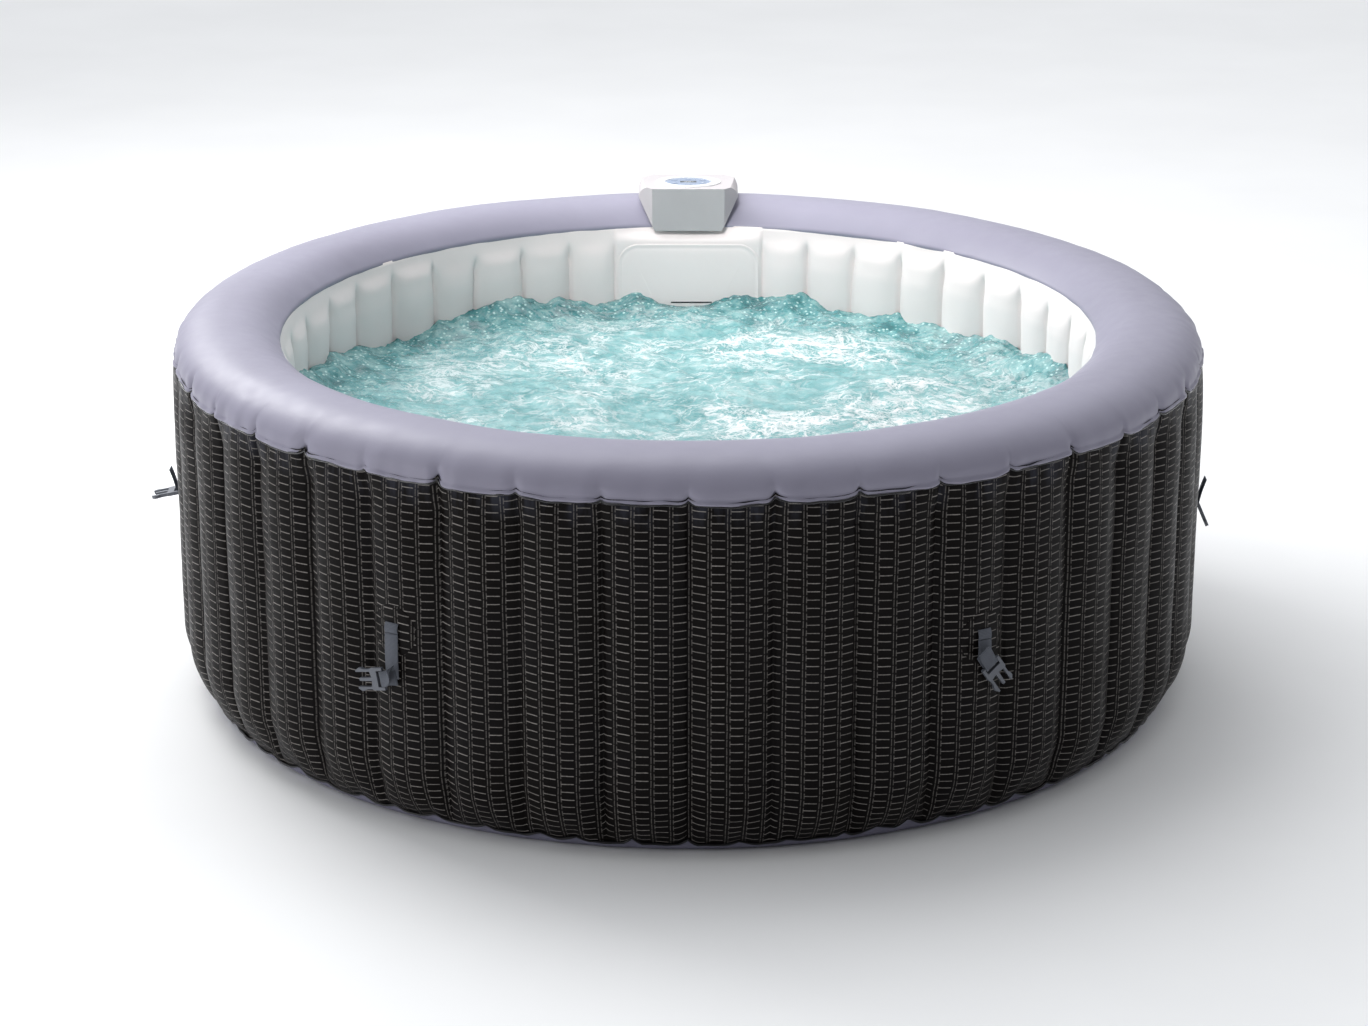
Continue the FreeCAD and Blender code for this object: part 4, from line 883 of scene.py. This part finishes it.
def build_foot_weld():
    """The bead of the weld between the wall and the base sheet."""
    ring_point = polar(ANGLES, FOOT_R, 0)
    path = polar(ANGLES, LIP_R + 0.0016 + 0.0012 * wave(ring_point, 30, 16),
                 WELD_Z + weld_height(ANGLES) + 0.0006 * wave(ring_point, 60, 17))
    thick = 0.0026 + 0.0008 * wave(ring_point, 45, 18)
    return tube_ring("foot_weld", path, np.stack([thick, thick * 0.85], -1))


def build_rim_weld_shade():
    """The thin dark bead between the rim's lap and the wall: partly the weld's own black edge, partly a painted
    shadow line under the lap.
    """
    seam_out, seam_up = seam_shift(ANGLES)
    ring_point = polar(ANGLES, SEAM_R, SEAM_Z)
    path = polar(ANGLES, SEAM_R + seam_out + 0.0014 + 0.0008 * wave(ring_point, 38, 40),
                 SEAM_Z + seam_up - 0.0068 + 0.0016 * wave(ring_point, 26, 41))
    thick = 0.0019 + 0.0011 * wave(ring_point, 33, 42)
    return tube_ring("rim_weld_shade_line", path, np.stack([thick * 0.8, thick], -1))


def water_height(place, reach):
    """The choppy surface above the water's level: a swell against the wall with its own
    humps, low in front of the panel and high beside it, then smaller and smaller waves."""
    ring = np.exp(-((1 - reach) / 0.10) ** 2)
    humps = np.clip(wave(place, 5.5, 20) * 1.5 + 0.5, 0.1, 1.3)
    at_panel = smooth(0.60, 0.68, place[..., 1]) * np.exp(-(place[..., 0] / 0.062) ** 4)
    for peak in (-0.104, 0.108):
        near = smooth(0.56, 0.66, place[..., 1]) * np.exp(-((place[..., 0] - peak) / 0.035) ** 2)
        humps = humps * (1 - near) + 0.75 * near
    humps = humps * (1 - at_panel) + 0.16 * at_panel
    lumps = wave(place, 14, 21)
    height = 0.032 * ring * humps * (1 + 0.5 * lumps)
    height += 0.010 * wave(place, 6, 22) + 0.0065 * lumps * (0.4 + ring)
    height += (0.0042 * wave(place, 34, 23) + 0.0020 * wave(place, 80, 24)) * (1 + 0.9 * ring)
    height += 0.0012 * wave(place, 170, 25)
    return height * (1 - 0.7 * at_panel)


def build_water():
    """The water as a closed volume: its surface, then its side and bottom."""
    side = np.linspace(-1, 1, 300)
    gx, gy = np.meshgrid(side, side)
    x = gx * np.sqrt(1 - gy ** 2 / 2)
    y = gy * np.sqrt(1 - gx ** 2 / 2)
    radius = LINER_R + 0.003
    place = np.stack([x * radius, y * radius, np.zeros_like(x)], -1)
    points = place + np.array([0, 0, WATER_Z])
    points[..., 2] += water_height(place, np.hypot(x, y))
    piece = grid_piece("water", points, points[..., :2], closed=False)
    shape = bmesh.new()
    shape.from_mesh(piece.data)
    for radius_at, level in ((WATER_SIDE_R, WATER_Z - 0.03), (WATER_FOOT_R, WATER_LOW)):
        border = [edge for edge in shape.edges if edge.is_boundary]
        grown = bmesh.ops.extrude_edge_only(shape, edges=border)["geom"]
        for vert in grown:
            if isinstance(vert, bmesh.types.BMVert):
                flat = Vector((vert.co.x, vert.co.y, 0)).normalized() * radius_at
                vert.co = (flat.x, flat.y, level)
    border = [edge for edge in shape.edges if edge.is_boundary]
    bmesh.ops.triangle_fill(shape, use_beauty=True, edges=border)
    bmesh.ops.recalc_face_normals(shape, faces=shape.faces)
    shape.to_mesh(piece.data)
    shape.free()
    return piece


def wall_reach(tree, angle, height, start, otherwise):
    """The radius at which the wall's skin stands, looked for outwards from a start."""
    outward = Vector(polar(angle, 1.0, 0.0))
    hit = tree.ray_cast(Vector((0, 0, height)) + outward * start, outward, 0.2)[0]
    return math.hypot(hit.x, hit.y) if hit else otherwise


def build_webs(tree):
    """The sheets that tie the outer wall's creases to the inner wall, inside the chamber."""
    line, _ = even(wall_line, 14)
    near = LINER_SEAM_R + 0.002
    points, faces = [], []
    for angle in creases:
        start = len(points)
        for radius, height in line:
            top = min(height, SEAM_Z - 0.03)
            far = wall_reach(tree, angle, top, 0.75, radius - 0.0285) - 0.0015
            for t in (0, 0.25, 0.5, 0.75, 1):
                bow = 0.002 * math.sin(math.pi * t) * math.sin(9 * height)
                points.append(polar(angle + bow, near + t * (far - near), top))
        for row in range(len(line) - 1):
            for col in range(4):
                at = start + row * 5 + col
                faces.append((at, at + 1, at + 6, at + 5))
    return mesh_piece("wall_web_sheets", points, faces)


def build_tub_floor():
    """The liner's floor, laid on the base sheet and puckered a little by the welds."""
    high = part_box("floor_liner")[1]
    reach = np.array([0.01, 0.12, 0.24, 0.36, 0.46, 0.54, 0.60, 0.64, 0.67, 0.69, high.x - 0.0005])
    grid = polar(ANGLES[None, ::3], reach[:, None], 0.0)
    ripple = 0.0011 * wave(grid, 9, 50) * smooth(0.2, 0.6, reach)[:, None]
    points = grid + np.array([0, 0, high.z + 0.0006])
    points[..., 2] += ripple
    uv = uv_grid(np.append(ANGLES[::3], 2 * math.pi) * LINER_R, reach)
    return grid_piece("tub_floor_skin", points, uv)


def build_channel():
    """The bubble channel round the foot of the inner wall: a soft step, drawn in at each
    crease, with a row of air holes."""
    low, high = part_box("bubble_channel")
    steps = 24
    first_hole = math.radians(90)
    angle = np.arange(BAYS * steps) * PITCH / steps
    across = np.abs(((angle / PITCH) % 1) * 2 - 1)
    top = high.z - 0.001
    line = np.array([[CHANNEL_R + 0.0005, low.z + 0.001], [CHANNEL_R - 0.0005, 0.02],
                     [CHANNEL_R + 0.0005, 0.04], [CHANNEL_R + 0.004, top - 0.004],
                     [CHANNEL_R + 0.009, top], [0.690, top + 0.0005], [0.6965, top - 0.002]])
    line, at = even(line, 60)
    drawn = 0.003 * across[None, :] ** 3 * smooth(0.02, 0.06, line[:, 1:] + 0.02)
    grid = polar(angle[None, :], line[:, :1], line[:, 1:])
    slow = 0.0008 * wave(grid, 18, 51)
    points = polar(angle[None, :], line[:, :1] + drawn + slow, line[:, 1:] - drawn * 0.4)
    uv = uv_grid(np.append(angle, 2 * math.pi) * CHANNEL_R, at)
    middle = face_middles(points)
    turn = np.arctan2(middle[..., 0], -middle[..., 1])
    gap = (turn - first_hole + PITCH / 2) % PITCH - PITCH / 2
    keep = np.hypot(gap * CHANNEL_R, middle[..., 2] - high.z / 2) > 0.0035
    return grid_piece("bubble_channel_skin", points, uv, keep=keep)


def joint_point(name):
    return Vector(next(j for j in frame["joints"] if j["name"] == name)["pos_m"])


def strap_frame(name):
    """A strap's hinge point and its outward and sideways axes."""
    hinge = joint_point(f"strap_{name}_lift")
    out = Vector((hinge.x, hinge.y, 0)).normalized()
    return hinge, out, Vector((-out.y, out.x, 0))


def ribbon(name, path, sides, width, thick, start=0.0):
    """A flat band along a path, with rounded edges and closed ends."""
    path = np.array(path, float)
    sides = np.array(sides, float)
    sides /= np.linalg.norm(sides, axis=1)[:, None]
    ahead = np.gradient(path, axis=0)
    up = np.cross(sides, ahead)
    up /= np.linalg.norm(up, axis=1)[:, None]
    half, edge = width / 2, thick / 2
    section = [(-half, 0), (-half + edge, edge), (0, edge), (half - edge, edge), (half, 0),
               (half - edge, -edge), (0, -edge), (-half + edge, -edge)]
    around = section + section[:1]
    rows = np.stack([path + sides * a + up * b for a, b in around], 1)
    steps = np.linalg.norm(np.diff(path, axis=0), axis=1)
    reach = start + np.concatenate([[0], np.cumsum(steps)])
    piece = grid_piece(name, rows, uv_grid(np.array([a for a, _ in around]), reach),
                       closed=False)
    last = (len(path) - 1) * len(around)
    shape = bmesh.new()
    shape.from_mesh(piece.data)
    shape.verts.ensure_lookup_table()
    for end in (range(len(section))[::-1], range(last, last + len(section))):
        shape.faces.new([shape.verts[i] for i in end])
    bmesh.ops.remove_doubles(shape, verts=shape.verts, dist=1e-6)
    bmesh.ops.recalc_face_normals(shape, faces=shape.faces)
    shape.to_mesh(piece.data)
    shape.free()
    return piece


def join_all(pieces, name):
    """One object from several, with their meshes' layers kept."""
    first = pieces[0]
    for other in reversed(pieces[1:]):
        with bpy.context.temp_override(active_object=first, selected_objects=[first, other],
                                       selected_editable_objects=[first, other]):
            bpy.ops.object.join()
    first.name = first.data.name = name
    return first


# How far the fold above each buckle leans it sideways, in degrees.
STRAP_LEAN = {"front_left": -78, "front_right": 36, "left": 0, "right": 0, "back_left": 0,
              "back_right": 0}
STRAP_W = 0.025
STRAP_T = 0.0015
LOOP_RUN = 0.017        # from the fold down to the bar
LOOP_R = 0.00375        # of the turn round the bar
TAIL_STEP = 0.0029


def strap_run(name, fold):
    """The webbing from the hinge straight down to the fold."""
    origin, out, side = strap_frame(name)
    slack = 0.0012 if STRAP_LEAN[name] else 0.0008
    start = origin - UP * 0.0012
    path = [start.lerp(fold, t) + out * (slack * math.sin(math.pi * t))
            for t in np.linspace(0, 1, 15)]
    return ribbon(f"strap_{name}_run", path, [side] * len(path), STRAP_W, STRAP_T)


def strap_hook(name, fold):
    """The webbing below the fold: down to the buckle's bar, round it and up to a tail."""
    _, out, side = strap_frame(name)
    lean = STRAP_LEAN[name]
    spin = Matrix.Rotation(math.radians(lean), 3, out)
    down = spin @ -UP
    across = spin @ side
    lift = 0.0014 if lean else 0.0
    path = [fold + down * (-0.009 + 0.026 * t) + out * lift * max(0.0, 1 - t * 1.6)
            for t in np.linspace(0, 1, 9)]
    bend = fold + down * LOOP_RUN + out * LOOP_R
    for turn in np.linspace(0, math.pi, 13)[1:]:
        path.append(bend + (-out * math.cos(turn) + down * math.sin(turn)) * LOOP_R)
    sides = [across] * len(path)
    twist = 0.9 if abs(lean) > 60 else 0.0
    for t in np.linspace(0, 1, 15)[1:]:
        curl = math.radians(lean) * (1 - 0.85 * t if twist else 1)
        turned = Matrix.Rotation(curl, 3, out)
        path.append(path[-1] + turned @ UP * TAIL_STEP + out * (0.0005 + 0.0006 * t))
        sides.append((turned @ side) * (1 - twist * t) + out * (twist * t))
    return ribbon(f"strap_{name}_hook", path, sides, STRAP_W, STRAP_T, 0.05)


def build_strap(name):
    origin = strap_frame(name)[0]
    bar = joint_point(f"buckle_{name}_swing")
    drop = origin.z - bar.z - LOOP_RUN * math.cos(math.radians(STRAP_LEAN[name]))
    fold = origin - UP * drop
    joined = join_all([strap_run(name, fold), strap_hook(name, fold)], f"strap_{name}_webbing")
    finish_piece(joined, webbing_mat, "strap_" + name, ["strap_" + name])


PATCH_T = 0.0008
# A patch's rings: radius, and rise in thicknesses, with the weld's ridge at 35 mm.
PATCH_RINGS = [(0, 1.0), (0.008, 1.0), (0.016, 1.0), (0.024, 1.0), (0.031, 1.0), (0.0335, 1.2),
               (0.035, 1.7), (0.0365, 1.2), (0.039, 1.0), (0.0405, 0.95), (0.042, 0.6),
               (0.0428, -0.6)]


def build_patch(tree, name):
    """A round rattan patch laid on the wall's skin, with a ridge where it is welded."""
    origin = strap_frame(name)[0]
    turn = math.atan2(origin.x, -origin.y)
    middle_z = origin.z + 0.003
    around = np.arange(64) * 2 * math.pi / 64
    rows = []
    for radius, rise in PATCH_RINGS:
        row = []
        for place in around:
            angle = turn + radius * np.cos(place) / WALL_R
            height = middle_z + radius * np.sin(place)
            reach = wall_reach(tree, angle, height, 0.8, WALL_R)
            row.append(polar(angle, reach + rise * PATCH_T + 0.0009, height))
        rows.append(row)
    radius = np.array(PATCH_RINGS)[:, :1]
    loop = np.append(around, around[0])
    uv = np.stack([turn * WALL_R + 0.011 + radius * np.cos(loop),
                   middle_z + 0.0045 + radius * np.sin(loop)], -1)
    return grid_piece(f"patch_{name}", np.array(rows), uv), Vector(rows[0][0])


def build_patches(tree):
    """The patches over the straps' roots, and the stubs of webbing that come out of them."""
    patches, stubs = [], []
    for name in STRAP_LEAN:
        origin, out, side = strap_frame(name)
        patch, middle = build_patch(tree, name)
        patches.append(patch)
        top = middle + out * 0.0004 + UP * 0.013
        path = [top.lerp(origin - UP * 0.0004, t) + out * 0.0022 * math.sin(math.pi * t)
                for t in np.linspace(0, 1, 10)]
        stubs.append(ribbon(f"stub_{name}", path, [side] * len(path), STRAP_W, STRAP_T, 0.02))
    finish_piece(join_all(patches, "strap_patch_skins"), rattan_mat,
                 replaced=["strap_patches"])
    finish_piece(join_all(stubs, "strap_stubs"), webbing_mat)


def build_fill_line():
    """The dark fill line printed on the equipment panel."""
    face = panel_low.y + PANEL_LIFT - 0.0020
    path = [Vector((x, face, FILL_Z)) for x in np.linspace(FILL_FROM, FILL_TO, 12)]
    line = ribbon("fill_line", path, [UP] * len(path), 0.0028, 0.0006)
    finish_piece(line, weld_mat)


def mark_arc(x, y, radius, start, end, count=14):
    """A round stroke between two angles in degrees."""
    turns = np.radians(np.linspace(start, end, count))
    return [(x + radius * math.cos(t), y + radius * math.sin(t)) for t in turns]


# The marks in millimetres about each button's middle, as strokes.
BUTTON_MARKS = {
    "button_power": [mark_arc(0, -0.3, 2.5, 120, 420), [(0, 0.6), (0, 3.2)]],
    "button_heat": [[(x + 0.55 * math.sin(y * 1.35), y) for y in np.linspace(-2.5, 2.5, 12)]
                    for x in (-2.0, 0.0, 2.0)],
    "button_bubble": [mark_arc(-1.3, -1.0, 1.4, 0, 355), mark_arc(1.7, 0.2, 1.0, 0, 355),
                      mark_arc(-0.3, 2.3, 0.7, 0, 355)],
    "button_filter": [[(-0.7, -2.6), (-0.7, -0.3), (-2.7, 2.4), (2.7, 2.4), (0.7, -0.3),
                       (0.7, -1.8)]],
    "button_plus": [[(-2.4, 0), (2.4, 0)], [(0, -2.4), (0, 2.4)]],
    "button_minus": [[(-2.4, 0), (2.4, 0)]],
}
# The display's figures, a two-digit temperature and its degree sign, as lit bars.
DISPLAY_MARKS = [[(-8.6, 4.4), (-4.2, 4.4)], [(-8.0, 0), (-4.2, 0)], [(-8.6, -4.4), (-4.2, -4.4)],
                 [(-3.7, 3.9), (-3.7, 0.5)], [(-3.7, -0.5), (-3.7, -3.9)],
                 [(-0.4, 4.4), (4.0, 4.4)], [(-0.4, 0), (4.0, 0)], [(-0.4, -4.4), (4.0, -4.4)],
                 [(-0.9, 3.9), (-0.9, 0.5)], [(-0.9, -0.5), (-0.9, -3.9)],
                 [(4.5, 3.9), (4.5, 0.5)], [(4.5, -0.5), (4.5, -3.9)],
                 mark_arc(8.6, 3.6, 1.0, 0, 355)]
DIAL_TILT = math.radians(4)


def dial_marks(name, node, strokes, width):
    """Printed strokes lying on the sloping top of one of the dial's pieces."""
    low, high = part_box(node)
    top = Vector(((low.x + high.x) / 2, (low.y + high.y) / 2,
                  high.z - (high.y - low.y) / 2 * math.tan(DIAL_TILT) + 0.00012))
    right = Vector((1, 0, 0))
    back = Vector((0, math.cos(DIAL_TILT), -math.sin(DIAL_TILT)))
    bands = []
    for number, stroke in enumerate(strokes):
        path = [top + right * x * 0.001 + back * y * 0.001 for x, y in stroke]
        ahead = [path[min(i + 1, len(path) - 1)] - path[max(i - 1, 0)] for i in range(len(path))]
        sides = [step.cross(right.cross(back)).normalized() for step in ahead]
        bands.append(ribbon(f"{name}_{number}", path, sides, width, 0.0002))
    return join_all(bands, name)


def build_dial_marks():
    """The buttons' icons, each riding its button, the display's figures and the ring."""
    pieces = [(dial_marks(node + "_mark", node, strokes, 0.0007), node)
              for node, strokes in BUTTON_MARKS.items()]
    pieces.append((dial_marks("display_figures", "display_lens", DISPLAY_MARKS, 0.0011), "root"))
    ring = [mark_arc(0, 0, 43.6, 0, 358, 90)]
    pieces.append((dial_marks("dial_ring", "panel_overlay", ring, 0.0009), "root"))
    for piece, body in pieces:
        finish_piece(piece, SLOT_MATERIALS["bezel_plastic"], body)


wall = build_wall()
rim = build_rim()
liner = build_liner()
panel = build_panel()
base = build_base()
tub_floor = build_tub_floor()
for piece, material, slot, replaced in (
        (skin(wall), rattan_mat, "rattan_skin", ["outer_wall"]),
        (skin(rim), rim_mat, "rim_skin", ["rim_top"]),
        (skin(liner), liner_mat, "liner_skin", ["inner_wall"]),
        (panel, liner_mat, "liner_skin", ["equipment_panel"]),
        (base, base_mat, "base_skin", ["base_sheet"]),
        (skin(tub_floor, 0.0008), liner_mat, "liner_skin", ["floor_liner"]),
        (skin(build_channel()), liner_mat, "liner_skin", ["bubble_channel"]),
        (build_foot_weld(), weld_mat, "rattan_skin", []),
        (build_rim_weld_shade(), rim_weld_shade_mat, "rattan_skin", [])):
    finish_piece(piece, material, replaced=replaced)
wall_tree = BVHTree.FromObject(wall, bpy.context.evaluated_depsgraph_get())
finish_piece(build_webs(wall_tree), web_cloth_mat, replaced=["wall_webs"])
build_patches(wall_tree)
for strap_name in STRAP_LEAN:
    build_strap(strap_name)
build_fill_line()
finish_piece(build_water(), water_mat)
build_dial_marks()


# ---- floor, light and camera ----

def build_floor():
    n = Nodes("studio_floor", roughness=0.9, specular=0.1)
    grey = n.ramp(n.noise(n.place(), 2.0, 3), (0.3, (0.90, 0.90, 0.90)), (0.7, (0.93, 0.93, 0.93)))
    n.set(Base_Color=grey)
    size = 30
    floor = mesh_piece("studio_floor", [(-size, -size, 0), (size, -size, 0), (size, size, 0),
                                        (-size, size, 0)], [(0, 1, 2, 3)])
    floor.data.materials.append(n.material)


def build_air():
    """Soft light from all round: strong from above, behind and the left."""
    world = bpy.data.worlds.new("studio_air")
    world.use_nodes = True
    tree = world.node_tree
    way = tree.nodes.new("ShaderNodeTexCoord")
    parts = tree.nodes.new("ShaderNodeSeparateXYZ")
    tree.links.new(way.outputs["Generated"], parts.inputs[0])

    def graded(axis, low, high, to_low, to_high):
        node = tree.nodes.new("ShaderNodeMapRange")
        node.interpolation_type = "SMOOTHSTEP"
        tree.links.new(parts.outputs[axis], node.inputs[0])
        for slot, value in enumerate((low, high, to_low, to_high), 1):
            node.inputs[slot].default_value = value
        return node.outputs[0]

    def product(first, second):
        node = tree.nodes.new("ShaderNodeMath")
        node.operation = "MULTIPLY"
        tree.links.new(first, node.inputs[0])
        tree.links.new(second, node.inputs[1])
        return node.outputs[0]

    strength = product(product(graded(2, -0.05, 0.85, 0.36, 1.02),
                               graded(1, -0.8, 0.6, 0.20, 1.55)),
                       graded(0, -0.8, 0.8, 1.25, 0.72))
    sky = tree.nodes["Background"]
    sky.inputs[0].default_value = (0.95, 0.97, 1.0, 1)
    tree.links.new(strength, sky.inputs[1])
    bpy.context.scene.world = world


# Each soft light: its place, what it is aimed at, its size, watts and spread in degrees.
LIGHTS = {
    "key": ((-2.1, 1.8, 2.6), (-0.1, 0.3, 0.6), 1.8, 76, 180),
    "side": ((-4.6, -2.6, 1.5), (0, 0, 0.4), 2.4, 40, 180),
    "over_water": ((-0.35, -0.85, 2.35), (0.14, 0.66, 0.56), 0.7, 2.0, 38),
    "top": ((-0.6, 1.6, 5.0), (0, 0.4, 0.4), 3.0, 60, 180),
}


def build_lights():
    for name, (place, aim, size, power, spread) in LIGHTS.items():
        lamp = bpy.data.lights.new(name, "AREA")
        lamp.energy = power
        lamp.size = size
        lamp.spread = math.radians(spread)
        holder = bpy.data.objects.new(name, lamp)
        holder.location = place
        holder.rotation_euler = (Vector(aim) - Vector(place)).to_track_quat("-Z", "Y").to_euler()
        bpy.context.scene.collection.objects.link(holder)


# The photo's view, as the fit to the rim's ellipses gives it.
LENS_MM = 89.4
SENSOR_MM = 36
CAMERA_PLACE = (0, -5.727, 2.252)
CAMERA_DOWN = math.radians(19.10)
CAMERA_TURN = 0.0013


def build_camera():
    lens = bpy.data.cameras.new("view")
    lens.lens = LENS_MM
    lens.sensor_width = SENSOR_MM
    lens.clip_end = 100     # metres
    camera = bpy.data.objects.new("view", lens)
    camera.location = CAMERA_PLACE
    camera.rotation_euler = (math.pi / 2 - CAMERA_DOWN, 0, CAMERA_TURN)
    bpy.context.scene.collection.objects.link(camera)
    bpy.context.scene.camera = camera
    bpy.context.scene.view_settings.view_transform = "Standard"


build_floor()
build_air()
build_lights()
build_camera()
